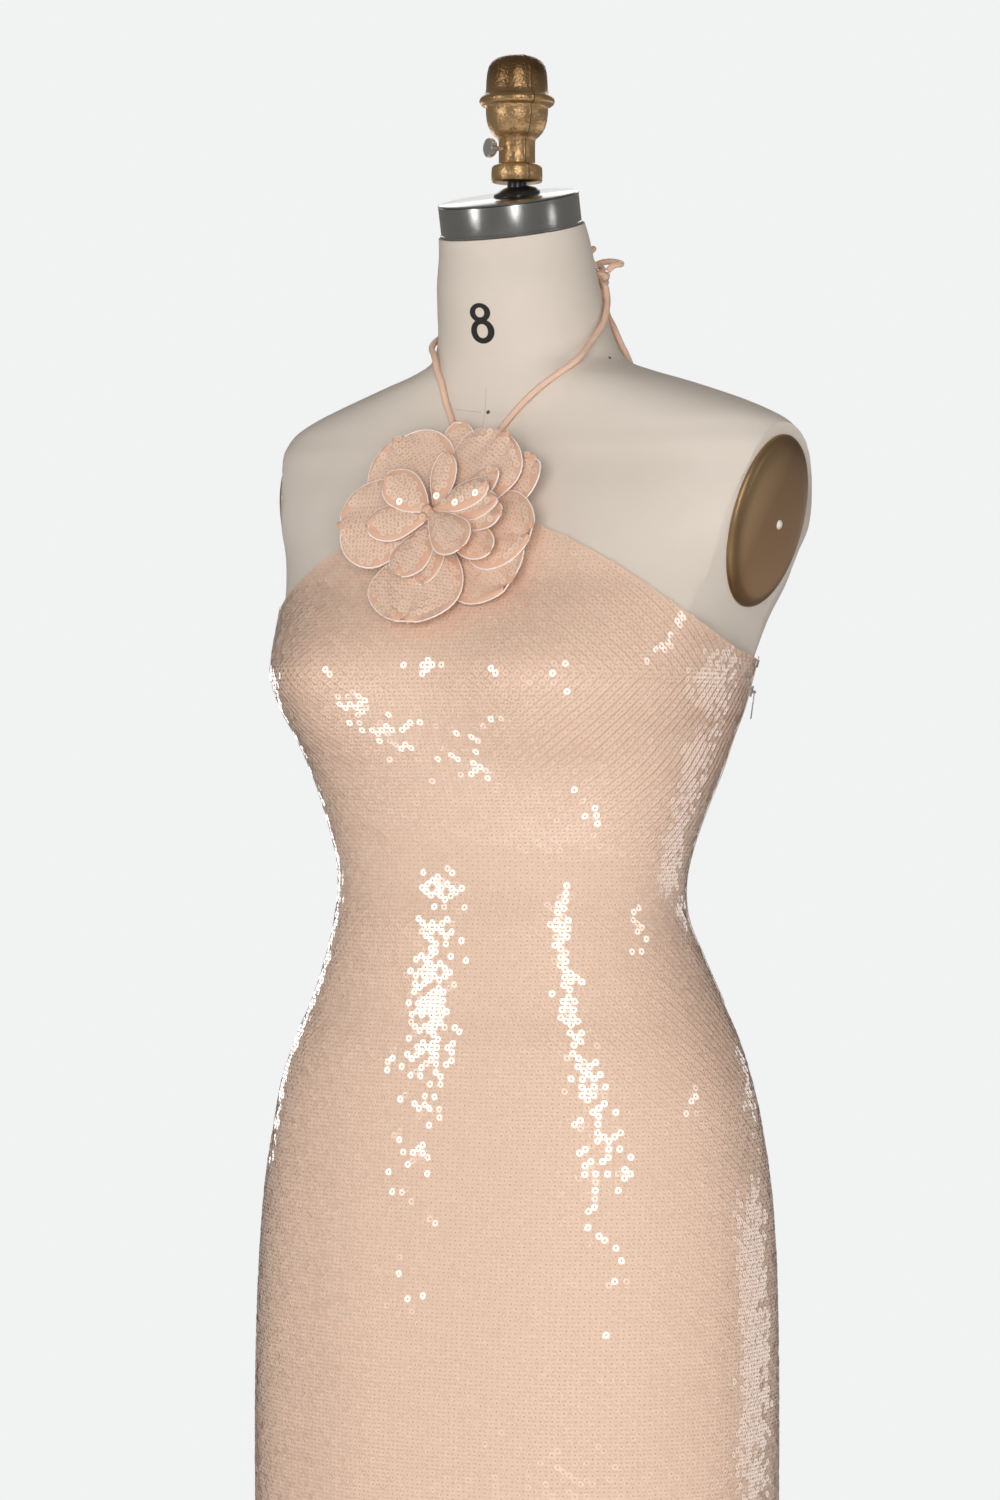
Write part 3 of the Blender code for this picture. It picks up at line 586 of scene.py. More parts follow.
def seat(point, form):
    """The point, moved out to where a cord there lies clear on the form."""
    if (point - Vector(KNOT)).length < KNOT_RADIUS + KNOT_ROOM:
        return point
    _, normal, _, away = form.find_nearest(point * MM)
    short = TIE_DIAMETER / 2 + CORD_CLEARANCE - away / MM
    return point + normal * short if short > 0 else point


def knot_end(heading):
    """Where a cord meets the knot, and a point a little further out along its heading."""
    way = Vector(HEADINGS[heading]).normalized()
    return [Vector(KNOT) + way * (KNOT_RADIUS + out) for out in (0.2, KNOT_ROOM)]


def make_cord(name, route, form, spacing):
    """A satin tube on the route. Its line is the curve's own."""
    points = [seat(p, form) for p in smooth_points(route, spacing)]
    curve = bpy.data.curves.new(name, "CURVE")
    curve.dimensions = "3D"
    curve.bevel_depth = TIE_DIAMETER / 2 * MM
    curve.bevel_resolution = 6
    curve.use_fill_caps = True
    curve.resolution_u = 5
    spline = curve.splines.new("BEZIER")
    spline.bezier_points.add(len(points) - 1)
    for place, p in zip(spline.bezier_points, points):
        place.co = p * MM
        place.handle_left_type = place.handle_right_type = "AUTO"
    item = piece(name, curve, "satin", slot="satin_rouleau", replaces=(name,))


def make_knot():
    """The tied knot: the cord's own turns, wrapped twice round a small core."""
    middle = Vector(KNOT)
    core_radius = KNOT_RADIUS - KNOT_CORE_IN
    profile = [(core_radius * math.cos(a), core_radius * math.sin(a)) for a in np.linspace(-1.45, 1.45, 12)]
    parts = [lathe(profile, 20, Matrix.Translation(middle))]
    for lean, inward in KNOT_WRAPS:
        radius = KNOT_RADIUS - inward
        ring = [middle + Vector((radius * c, radius * s, radius * lean * s)) for c, s in circle(28)]
        parts.append(tube(ring, TIE_DIAMETER / 2 * KNOT_PULLED, 12, closed=True))
    return in_place("bow_knot", joined(parts), "satin", "satin_rouleau")


def make_ties():
    form = BVHTree.FromObject(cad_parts["form_torso"], bpy.context.evaluated_depsgraph_get())
    knot = make_knot()
    on_figure = (
        # name, rows, spacing, far end
        ("tie_left", TIE_LEFT, 7, "knot"),
        ("tie_right", TIE_RIGHT, 9, "object"),
        ("bow_tail_outer", TAIL_OUTER, 5, "bare"),
        ("bow_tail_inner", TAIL_INNER, 5, "bare"),
    )
    for name, rows, spacing, far_end in on_figure:
        route = [off_figure(*row) for row in rows]
        if name.startswith("tie"):
            route = route + knot_end(name)[::-1]
        else:
            route = knot_end(name) + route
        make_cord(name, route, form, spacing)
    for name, rows in (("bow_loop_side", LOOP_SIDE), ("bow_loop_up", LOOP_UP)):
        route = knot_end(name) + [Vector(row) for row in rows] + knot_end(f"{name}_back")[::-1]
        make_cord(name, route, form, 4)


make_ties()


# ---------------------------------------------------------------- the cloth's surface, in numbers
CREASES = (
    # Soft troughs and ridges of the hanging cloth: where, how wide and long, how deep.
    # turn, height, half_turn, half_height, out, turn_per_100_mm
    (272, 775, 14, 40, -1.5, 0),
    (316, 775, 14, 40, -1.4, 0),
    (250, 1246, 14, 16, -0.8, 4),
    (289, 1243, 12, 18, -0.7, -3),
    (306, 700, 8, 260, 0.9, 1.5),
    (318, 760, 7, 230, -0.9, 2.5),
    (284, 560, 9, 300, -0.8, 0),
    (252, 540, 10, 320, 0.8, 0),
    (232, 620, 9, 280, -0.9, -1),
    (216, 700, 8, 260, 0.7, -1),
    (344, 640, 9, 320, 1.0, 1),
    (2, 600, 9, 300, -0.8, 0),
    (60, 560, 9, 330, 0.9, 0),
    (86, 620, 8, 300, -0.9, 0),
    (118, 560, 9, 320, 0.9, 0),
    (150, 640, 8, 280, -0.7, 0),
    (334, 1082, 9, 9, -0.6, 18),
    (344, 1050, 9, 8, -0.6, -14),
    (200, 1082, 9, 9, -0.6, -18),
    (196, 1052, 9, 8, -0.5, 14),
    (66, 1088, 12, 8, -0.7, 8),
    (112, 1066, 12, 8, -0.7, -8),
    (90, 1120, 16, 9, -0.5, 0),
)


# The rows of the figure that arrays are worked out from lie this far apart.
LEVEL_STEP = 0.5
# How far to each side the surface is looked at for its outward direction.
TURN_REACH = 0.4
HEIGHT_REACH = 0.8
LEVELS = np.arange(FIGURE[0][0], FIGURE[-1][0] + LEVEL_STEP, LEVEL_STEP)
SECTION_ROWS = np.array([section(height) for height in LEVELS])


def figure_array(turn, height):
    """The figure's points for arrays of turns and heights."""
    columns = [np.interp(height, LEVELS, column) for column in SECTION_ROWS.T]
    width, centre, front, back, front_square, back_square, bust = columns
    c, s = np.cos(np.radians(turn)), np.sin(np.radians(turn))
    depth, square = np.where(s < 0, front, back), np.where(s < 0, front_square, back_square)
    reach = ((np.abs(c) / width) ** square + (np.abs(s) / depth) ** square) ** (-1 / square)
    x, y = reach * c, centre + reach * s
    swell = sum(np.exp(-(((x - side * BUST_ACROSS) / BUST_SPREAD) ** 2)) for side in (1, -1))
    ahead = np.clip(-s / BUST_BLEND, 0, 1)
    y = y - bust * swell * ahead**2 * (3 - 2 * ahead)
    up = np.clip((height - NECK_LEAN_FROM) / (NECK_TOP - NECK_LEAN_FROM), 0, 1)
    lean = NECK_LEAN * up * up * (3 - 2 * up)
    return np.stack([x, y, height + lean * (y - NECK_CENTRE_Y)], -1)


def crease(turn, height):
    """How far the cloth's creases move it out."""
    moved = np.zeros(np.shape(turn))
    for at, level, half_turn, half_height, out, slant in CREASES:
        away = (turn - at - slant * (height - level) / 100 + 180) % 360 - 180
        moved += out * np.exp(-((away / half_turn) ** 2) - ((height - level) / half_height) ** 2)
    return moved


def unit(directions):
    return directions / np.linalg.norm(directions, axis=-1, keepdims=True)


def outward(surface_at, turn, height):
    """Unit directions out of a surface of turn and height."""
    along = surface_at(turn + TURN_REACH, height) - surface_at(turn - TURN_REACH, height)
    up = surface_at(turn, height + HEIGHT_REACH) - surface_at(turn, height - HEIGHT_REACH)
    return unit(np.cross(along, up))


def cloth_array(turn, height, out=GOWN_CLEARANCE + GOWN_WALL):
    """Points of the cloth as the figure wears it, out from the figure, its creases included."""
    normal = outward(figure_array, turn, height)
    return figure_array(turn, height) + normal * (out + crease(turn, height))[..., None]


# ---------------------------------------------------------------- the gown's cloth
CLOTH_WALL = 1.0
CLOTH_OUT = 2.6
PANEL_COLUMN = 3
PANEL_ROWS = 230
SEAM_GAP = 0.07


def grid_area(grid):
    """The area of a grid of points, in square metres."""
    a, b, c, d = grid[:-1, :-1], grid[1:, :-1], grid[1:, 1:], grid[:-1, 1:]
    halves = (np.cross(b - a, c - a), np.cross(c - a, d - a))
    twice = sum(np.linalg.norm(half, axis=-1) for half in halves)
    return float(twice.sum() / 2) * MM * MM


def line_length(points):
    return float(np.linalg.norm(np.diff(points, axis=0), axis=1).sum()) * MM


def make_panel(name, first_turn, last_turn):
    """A front or back: closed thin cloth from the hem to its own top edge."""
    columns = round((last_turn - first_turn) / PANEL_COLUMN) + 1
    turns = np.linspace(first_turn + SEAM_GAP, last_turn - SEAM_GAP, columns)
    tops = np.array([top_edge(t) for t in turns])
    share = np.linspace(0, 1, PANEL_ROWS)[:, None]
    height = HEM + (tops[None, :] - HEM) * share
    turn = np.broadcast_to(turns, height.shape)
    grids = [cloth_array(turn, height, CLOTH_OUT - back) for back in (0, CLOTH_WALL)]
    item = in_place(name, wall(*grids), "net", "sequin_cloth")
    girth = max(line_length(row) for row in grids[0])
    length = max(line_length(grids[0][:, k]) for k in range(len(turns)))
    return item, (girth, length), grid_area(grids[0])


# ---------------------------------------------------------------- sequins
SEQUIN_RADIUS = 2.5
SEQUIN_HOLE = 0.78
SEQUIN_HOLE_SIDES = 4
SEQUIN_HOLE_OUT = 0.06
SEQUIN_ACROSS = 3.6
SEQUIN_ALONG = 5.2
SEQUIN_SIDES = 8
# How far a sequin's face tips down, and how unevenly the sequins lie.
SEQUIN_LAP = math.radians(0.5)
SEQUIN_LIE = math.radians(1.9)
SEQUIN_OUT = 0.55
SEQUIN_STRAY = 0.12
SEQUIN_SEED = 7
# Points across a panel that its top edge and its rows are measured at.
ROW_POINTS = 361
# Bare strips of cloth under the top edge and beside the side seams.
EDGE_ROOM = 1.6
SEAM_ROOM = 1


def make_sequins(name, centres, normals, ups, seed):
    """Flat round sequins as one mesh, each with a small darker disc for its hole, lying a little
    unevenly."""
    random_lie = np.random.default_rng(seed)
    count = len(centres)
    side = unit(np.cross(ups, normals))
    up = np.cross(normals, side)
    lean = random_lie.normal(0, SEQUIN_LIE, (count, 2)) + (-SEQUIN_LAP, 0)
    normal = unit(normals + up * lean[:, :1] + side * lean[:, 1:])
    side = unit(np.cross(up, normal))
    up = np.cross(normal, side)
    centre = centres + normals * (SEQUIN_OUT + random_lie.uniform(-SEQUIN_STRAY, SEQUIN_STRAY, (count, 1)))
    centre = centre + up * random_lie.normal(0, SEQUIN_STRAY, (count, 1))
    centre = centre + side * random_lie.normal(0, SEQUIN_STRAY, (count, 1))
    discs = ((SEQUIN_SIDES, SEQUIN_RADIUS, 0), (SEQUIN_HOLE_SIDES, SEQUIN_HOLE, SEQUIN_HOLE_OUT))
    rings = []
    for sides, radius, out in discs:
        turn = (np.arange(sides) + 0.5) * math.tau / sides
        ring = side[:, None] * np.cos(turn)[None, :, None] + up[:, None] * np.sin(turn)[None, :, None]
        rings.append(centre[:, None] + ring * radius + (normal * out)[:, None])
    points = np.concatenate(rings, axis=1)
    corners = SEQUIN_SIDES + SEQUIN_HOLE_SIDES
    mesh = bpy.data.meshes.new(name)
    mesh.vertices.add(count * corners)
    mesh.vertices.foreach_set("co", (points * MM).astype(np.float32).ravel())
    mesh.loops.add(count * corners)
    mesh.loops.foreach_set("vertex_index", np.arange(count * corners, dtype=np.int32))
    mesh.polygons.add(count * 2)
    starts = np.arange(count, dtype=np.int32)[:, None] * corners + np.array([0, SEQUIN_SIDES], dtype=np.int32)
    mesh.polygons.foreach_set("loop_start", starts.ravel())
    looks = np.tile(np.array([0, 1], dtype=np.int32), count)
    mesh.polygons.foreach_set("material_index", looks)
    mesh.update(calc_edges=True)
    mesh.validate()
    return piece(name, mesh, "sequin", "sequin_hole", slot="sequin_cloth")


def walk(line):
    """How far along a line of points each of them is."""
    return np.concatenate([[0], np.cumsum(np.linalg.norm(np.diff(line, axis=0), axis=1))])


def row_heights(turn, low, high, step):
    """Heights an even way apart along the cloth at one turn."""
    fine = np.arange(low, high, 1.0)
    walked = walk(figure_array(np.full(fine.shape, float(turn)), fine))
    return np.interp(np.arange(step, walked[-1], step), walked, fine)


def panel_sequins(first_turn, last_turn, middle):
    """Centres of a panel's sequins: columns run up the cloth from its centre line, each second one
    half a step higher, and those nearest the side seams are cut off by them."""
    step = SEQUIN_ALONG / 2 * 1
    turns, heights = [], []
    fine = np.linspace(first_turn, last_turn, ROW_POINTS)
    tops = np.array([top_edge(t) for t in fine])
    for row, height in enumerate(row_heights(middle, HEM + 1, tops.max(), step)):
        walked = walk(figure_array(fine, np.full(fine.shape, height)))
        centre = np.interp(middle, fine, walked)
        start = math.ceil((walked[0] + SEAM_ROOM - centre) / SEQUIN_ACROSS)
        end = math.floor((walked[-1] - SEAM_ROOM - centre) / SEQUIN_ACROSS)
        columns = np.arange(start, end + 1)
        columns = columns[columns % 2 == row % 2]
        at = np.interp(centre + columns * SEQUIN_ACROSS, walked, fine)
        keep = height < np.interp(at, fine, tops) - EDGE_ROOM
        turns.append(at[keep])
        heights.append(np.full(int(keep.sum()), height))
    return np.concatenate(turns), np.concatenate(heights)


def make_gown():
    """Both panels with their sequins, the sequins in bands that stay small enough."""
    panels = (
        # name, first turn, last turn, middle, bands of sequins
        ("gown_front", 180 - SEAM_TURN, 360 + SEAM_TURN, FRONT_TURN, 3),
        ("gown_back", SEAM_TURN, 180 - SEAM_TURN, BACK_TURN, 2),
    )
    for name, first, last, middle, bands in panels:
        cloth, flat, area = make_panel(name, first, last)
        turn, height = panel_sequins(first, last, middle)
        centres = cloth_array(turn, height, CLOTH_OUT)
        normals = outward(lambda t, h: cloth_array(t, h, CLOTH_OUT), turn, height)
        ups = np.tile(np.array([0.0, 0.0, 1.0]), (len(turn), 1))
        limits = np.quantile(height, np.linspace(0, 1, bands + 1))
        for k in range(bands):
            chosen = (height >= limits[k]) & ((height < limits[k + 1]) | (k == bands - 1))
            rows = (centres[chosen], normals[chosen], ups[chosen])
            make_sequins(f"{name}_sequins_{k + 1}", *rows, SEQUIN_SEED + k)


make_gown()


# ---------------------------------------------------------------- the flower
FLOWER_HEIGHT = 1300
FLOWER_TILT = math.radians(24)
FLOWER_STANDOFF = 4.5
FLOWER_CENTRE = (-2, -9)
FLOWER_CORE_RADIUS = 3
FLOWER_TOP = 31
BACKING_RADIUS = 20
PETAL_WALL = 0.8
PETAL_ROOT_HALF = 1.3
PETAL_FULL = 0.64
PETAL_RIM = 0.55
PETAL_START = FLOWER_CORE_RADIUS + 0.3
PETAL_FIRST_ROW = 4
# How uneven a petal's sides and tip are, and how far its sides curl down.
PETAL_WAVER = 0.035
PETAL_RIPPLE = 0.022
PETAL_CURL = 0.35
PETAL_SEED = 40
# The sequins leave this much of a petal's edge bare.
PETAL_MARGIN = 3.2
PETALS = (
    # name, direction, reach, half_width, level, rise, waves, wave_height, padding
    ("petal_outer_1", 128, 76, 32, 5.0, 7, 2, 1.0, 3.4),
    ("petal_outer_2", 92, 74, 14, 1.6, 5, 1, 0.5, 1.4),
    ("petal_outer_3", 58, 72, 29, 8.4, 6, 3, 0.9, 3.0),
    ("petal_outer_4", 37, 74, 20, 1.6, 5, 1, 0.6, 1.4),
    ("petal_outer_5", -8, 68, 27, 5.0, 6, 2, 1.0, 3.0),
    ("petal_outer_6", -38, 74, 29, 1.6, 7, 2, 0.8, 1.6),
    ("petal_outer_7", -96, 74, 33, 8.4, 8, 3, 1.1, 3.8),
    ("petal_outer_8", 183, 70, 33, 11.8, 6, 2, 1.0, 3.6),
    ("petal_middle_1", 145, 44, 13, 22.0, 7, 1, 0.7, 3.0),
    ("petal_middle_2", 192, 44, 13, 18.6, 7, 1, 0.7, 2.8),
    ("petal_middle_3", 85, 42, 9, 18.6, 7, 1, 0.5, 2.6),
    ("petal_middle_4", -42, 48, 14, 28.8, 7, 2, 0.6, 3.2),
    ("petal_middle_5", -110, 46, 14, 15.2, 7, 1, 0.7, 2.6),
    ("petal_middle_6", -88, 48, 10, 11.8, 6, 1, 0.5, 2.0),
    ("petal_inner_1", 20, 45, 10, 25.4, 7, 1, 0.6, 3.0),
    ("petal_inner_2", 6, 50, 10, 22.0, 8, 2, 0.6, 2.4),
    ("petal_inner_3", -4, 54, 11, 18.6, 8, 2, 0.7, 2.2),
    ("petal_inner_4", -30, 57, 12, 15.2, 8, 1, 0.6, 2.2),
    ("petal_inner_5", 36, 51, 10, 15.2, 7, 1, 0.5, 2.4),
)


def flower_frame():
    """X to the wearer's left, Y up the flower and Z out of it, from its core on the chest."""
    out = Vector((0, -math.cos(FLOWER_TILT), math.sin(FLOWER_TILT)))
    up = Vector((0, math.sin(FLOWER_TILT), math.cos(FLOWER_TILT)))
    base = off_figure(FRONT_TURN, FLOWER_HEIGHT, GOWN_CLEARANCE + GOWN_WALL) + out * FLOWER_STANDOFF
    across, above = FLOWER_CENTRE
    return axes_matrix(Vector((1, 0, 0)), up, out, base + Vector((across, 0, 0)) + up * above)


def petal_half_width(share, widest):
    """A petal's half width at a share of its length: a narrow root, a full middle, a round tip."""
    grown = PETAL_ROOT_HALF + (widest - PETAL_ROOT_HALF) * np.sin(
        math.pi / 2 * np.clip(share, 0, PETAL_FULL) / PETAL_FULL
    ) ** 1.15
    rounded = np.sqrt(np.maximum(1 - (np.maximum(share - PETAL_FULL, 0) / (1.005 - PETAL_FULL)) ** 2, 0))
    return grown * rounded


def petal_array(place, row, share, across, out):
    """Points of a petal at shares of its length and of its half width, padded and a little wavy."""
    _, direction, reach, half_width, level, rise, waves, wave_height, padding = row
    turn = math.radians(direction)
    uneven = np.sin(5.3 * share + direction) * PETAL_WAVER
    uneven = uneven + np.sin(11 * share + 2.7 * across + level) * PETAL_RIPPLE
    uneven_tip = 1 + PETAL_RIPPLE * share**3 * np.sin(4.1 * across + direction)
    along = PETAL_START + (reach - PETAL_START) * share * uneven_tip
    aside = petal_half_width(share, half_width) * across * (1 + uneven)
    x = along * math.cos(turn) - aside * math.sin(turn)
    y = along * math.sin(turn) + aside * math.cos(turn)
    z = level + rise * (along**2 + aside**2) / reach**2
    fullness = np.sin(math.pi * np.clip(share, 0, 1) ** 0.8)
    z = z + padding * (1 - across**2) * fullness - PETAL_CURL * padding * across**4 * share
    z = z + wave_height * share**3 * np.sin(waves * math.pi * across + direction)
    matrix = np.array(place)
    return np.stack([x, y, z + out], -1) @ matrix[:3, :3].T + matrix[:3, 3]


def petal_sequins(place, row):
    """Centres, outward directions and ups of a petal's sequins, clear of its edge."""
    reach, half_width = row[2:4]
    shares, acrosses = [], []
    rows = np.arange(PETAL_START + PETAL_FIRST_ROW, reach - PETAL_MARGIN, SEQUIN_ALONG / 2)
    for k, along in enumerate(rows):
        share = (along - PETAL_START) / (reach - PETAL_START)
        half = float(petal_half_width(np.array(share), half_width))
        most = int(half // SEQUIN_ACROSS)
        for column in range(-most, most + 1):
            if (column - k) % 2 or abs(column * SEQUIN_ACROSS) > half - PETAL_MARGIN:
                continue
            shares.append(share)
            acrosses.append(column * SEQUIN_ACROSS / half)
    share, across = np.array(shares), np.array(acrosses)
    centre = petal_array(place, row, share, across, PETAL_WALL)
    ahead = petal_array(place, row, share + 0.01, across, PETAL_WALL) - centre
    aside = petal_array(place, row, share, across + 0.02, PETAL_WALL) - centre
    return centre, unit(np.cross(ahead, aside)), -ahead


def make_petal(place, row, seed):
    """One petal: padded cloth, its pale bound edge and its sequins."""
    name, reach = row[0], row[2]
    share = 1 - (1 - np.linspace(0, 1, 17)) ** 1.5
    across = np.sin(np.linspace(-1, 1, 13) * math.pi / 2)
    grid_share, grid_across = np.meshgrid(share, across, indexing="ij")
    grids = [petal_array(place, row, grid_share, grid_across, out) for out in (PETAL_WALL, 0)]
    item = in_place(name, wall(*grids), "petal_cloth", "sequin_cloth")
    shares = np.concatenate([share, share[-2::-1]])
    sides = np.concatenate([np.full(len(share), -1.0), np.full(len(share) - 1, 1.0)])
    rim_line = petal_array(place, row, shares, sides, PETAL_WALL / 2)[1:-1]
    rim = extra(f"{name}_edge", tube(rim_line, PETAL_RIM, 6), "petal_edge", "sequin_cloth")
    shine = make_sequins(f"{name}_sequins", *petal_sequins(place, row), seed)


def make_backing(place):
    """The round of cloth that the petals are sewn to, with their core."""
    profile = ((BACKING_RADIUS, -2.6), (BACKING_RADIUS, 1.3), (FLOWER_CORE_RADIUS, 1.3))
    profile += ((FLOWER_CORE_RADIUS, FLOWER_TOP - 1), (FLOWER_CORE_RADIUS - 1, FLOWER_TOP))
    in_place("flower_backing", lathe(profile, 48, place), "petal_cloth", "sequin_cloth")


def make_flower():
    place = flower_frame()
    make_backing(place)
    for k, row in enumerate(PETALS):
        make_petal(place, row, PETAL_SEED + k)


make_flower()


# ---------------------------------------------------------------- the dress form
ARM_PLATE_CENTRE = (170, 26, 1302)
ARM_PLATE_HALF = (46, 58)
ARM_PLATE_RISE = (26.5, 20, 113)
ARM_PLATE_ALONG = (0.072, 0.997, 0)
ARM_PLATE_BULGE = 7
ARM_SCREW_BACK = 6
ARM_SCREW_RADIUS = 3.2
THREAD_RADIUS = 0.16
THREAD_OUT = 0.02

SEAMS = (
    # The form's own seams: a row for each, as turn and height at its ends, over the bare canvas.
    # name, first turn, first height, last turn, last height
    ("centre_front", 270, 1300, 270, 1390),
    ("centre_back", 90, 1190, 90, 1494),
    ("shoulder_left", 1, 1366, 352, 1410),
    ("shoulder_right", 179, 1366, 188, 1410),
    ("neck_front", 252, 1377, 268, 1374),
)


def arm_plate_frame(side):
    """A frame on the arm plate's plane: X to the back along it, Y up it and Z out of it."""
    rise = Vector(ARM_PLATE_RISE).normalized()
    out = Vector(ARM_PLATE_ALONG).normalized().cross(rise).normalized()
    return Matrix.Diagonal((side, 1, 1, 1)) @ axes_matrix(rise.cross(out), rise, out, ARM_PLATE_CENTRE)


def make_torso():
    """The padded canvas body, cut flat under its arm plates."""
    # from, to, step
    spans = ((FORM_BOTTOM, 1190, 14), (1190, 1350, 5), (1350, NECK_TOP, 2.5))
    heights = [height for span in spans for height in np.arange(*span)] + [NECK_TOP]
    turns = np.arange(0, 360, 3.0)
    rings = [figure_array(turns, np.full(turns.shape, float(height))) for height in heights]
    mesh = surface("form_torso", *stacked(rings))
    work = bmesh.new()
    work.from_mesh(mesh)
    for side in (1, -1):
        place = arm_plate_frame(side)
        out = place.to_3x3() @ UP
        geometry = [*work.verts, *work.edges, *work.faces]
        at = place.translation * MM
        cut = bmesh.ops.bisect_plane(work, geom=geometry, plane_co=at, plane_no=out, clear_outer=True)
        rim = [e for e in cut["geom_cut"] if isinstance(e, bmesh.types.BMEdge)]
        bmesh.ops.edgeloop_fill(work, edges=rim)
    bmesh.ops.recalc_face_normals(work, faces=work.faces)
    work.to_mesh(mesh)
    work.free()
    mesh.shade_smooth()
    mesh.set_sharp_from_angle(angle=math.radians(50))
    piece("form_torso", mesh, "canvas", slot="form_canvas", replaces=("form_torso",))


def make_form_seams():
    """Fine sewn lines on the canvas, with a short stretch of the neck's own seam at its foot in front."""
    parts = []
    for _, first_turn, first_height, last_turn, last_height in SEAMS:
        line = []
        for t in np.linspace(0, 1, 40):
            turn = first_turn + ((last_turn - first_turn + 180) % 360 - 180) * t
            line.append(off_figure(turn, first_height + (last_height - first_height) * t, THREAD_OUT))
        parts.append(tube(line, THREAD_RADIUS, 6))
    extra("form_seams", joined(parts), "thread", "form_canvas")


# The plain size number on the neck: two rings of an eight, thick and thin by turns.
NUMBER_HEIGHT = 1433.5
# The neck's radius there, which turns millimetres across into degrees round it.
NUMBER_REACH = 56
NUMBER_STEPS = 48
PRINT_OUT = 0.15
NUMBER_RINGS = (
    # centre up, half width, half height, thin stroke, thick stroke
    (6.9, 5.0, 5.5, 3.6, 4.0),
    (-6.2, 5.7, 6.4, 3.6, 4.2),
)
FORM_PINS = (
    # turn, height, head radius
    (272, 1374, 1.3),
    (347, 1411, 1.1),
)


def make_number():
    """The printed size number on the neck, a little proud of the canvas."""
    points, faces = [], []
    for centre, half_width, half_height, thin, thick in NUMBER_RINGS:
        start = len(points)
        for c, s in circle(NUMBER_STEPS):
            stroke = thin + (thick - thin) * abs(c) ** 1.5
            for side in (0.5, -0.5):
                turn = FRONT_TURN + math.degrees((half_width + stroke * side) * c / NUMBER_REACH)
                height = NUMBER_HEIGHT + (centre + (half_height + thin * side) * s)
                points.append(off_figure(turn, height, PRINT_OUT))
        for k in range(NUMBER_STEPS):
            i, j = start + 2 * k, start + 2 * ((k + 1) % NUMBER_STEPS)
            faces.append((i, j, j + 1, i + 1))
    extra("size_number", (points, faces), "print", "form_canvas", smooth=False)


def make_pins():
    """Small dark pin heads in the canvas."""
    parts = []
    for turn, height, radius in FORM_PINS:
        place = frame_matrix(off_figure(turn, height, 0), (0, 0, 1), figure_normal(turn, height))
        parts.append(lathe(((radius, 0), (radius, 0.3), (radius * 0.6, 0.8), (0.1, 1.0)), 16, place))
    extra("form_pins", joined(parts), "pin_head", "zip_metal")


def make_arm_plates():
    """Domed oval plates over the cut arms, each with its screw."""
    profile = (
        # share of the outline, height over the cut
        (1.0, 0.3), (1.0, 1.2), (0.992, 2.2), (0.97, 3.6), (0.93, 4.9), (0.86, 5.9),
        (0.74, 6.6), (0.55, 7.0), (0.3, 7.15), (0.08, 7.2),
    )
    across, up = ARM_PLATE_HALF
    head = (
        # share of the screw's radius, height over the plate
        (1, -0.6), (1, 0.3), (0.86, 0.9), (0.55, 1.4), (0.15, 1.6),
    )
    screw = [(ARM_SCREW_RADIUS * share, out) for share, out in head]
    for side, word in ((1, "left"), (-1, "right")):
        place = arm_plate_frame(side)
        rings = []
        for share, out in profile:
            rings.append([place @ Vector((across * share * c, up * share * s, out)) for c, s in circle(72)])
        in_place(f"arm_plate_{word}", stacked(rings), "plate", "plate_gold")
        on_plate = place @ Matrix.Translation((ARM_SCREW_BACK, 0, ARM_PLATE_BULGE + 0.2))
        in_place(f"arm_screw_{word}", lathe(screw, 32, on_plate), "enamel", "cream_enamel")


CAP_RADIUS = 47
CAP_HEIGHT = 22
CAP_EDGE = 1.2
CAP_SHADE_RING = 0.35
ROD_RADIUS = 6.4
ROD_TOP = 1530
POST = (
    # radius, height over the cap's top
    (15.5, 0), (15.5, 0.9), (14.6, 2.2), (12.5, 3.5), (9.5, 4.6), (ROD_RADIUS, 5.6),
)
FINIAL = (
    # radius, height
    (16.4, 1530.4), (16.9, 1531), (17.1, 1535), (16.9, 1539.6), (16.3, 1541), (15.0, 1541.8),
    (12.6, 1542.2), (12.2, 1543), (12.1, 1550), (12.2, 1557.5), (12.9, 1559.4), (14.9, 1561),
    (17.1, 1563.4), (18.9, 1566.8), (20.1, 1571), (20.7, 1576), (20.8, 1579.6), (21.4, 1580.5),
    (23.2, 1581.1), (24.7, 1582.4), (25.2, 1584.2), (24.6, 1586.2), (22.8, 1587.8),
    (21.4, 1589), (20.6, 1592), (20.4, 1598), (19.9, 1603), (18.9, 1607.3), (17.1, 1610.4),
    (14.2, 1612.6), (10, 1614.1), (5, 1614.8), (1, 1615),
)
CASTING_TURN = 325
CASTING_RIDGE = 0.018
CASTING_WIDTH = 1.8
CASTING_SKIN = 0.006
CASTING_LINE = 0.26
CASTING_WANDER = 0.03
THUMB_TURN = 238
THUMB_HEIGHT = 1552
THUMB_SCREW = (
    # radius, out from the collar
    (1.6, -1), (1.6, 4.2), (3.4, 4.7), (5.2, 5.8), (5.6, 6.6), (6.1, 7.2), (6.1, 10.2),
    (5.5, 10.7), (2.5, 10.9),
)
KNURLS = 26
KNURL_DEPTH = 0.045
KNURLS_FROM = 6.9


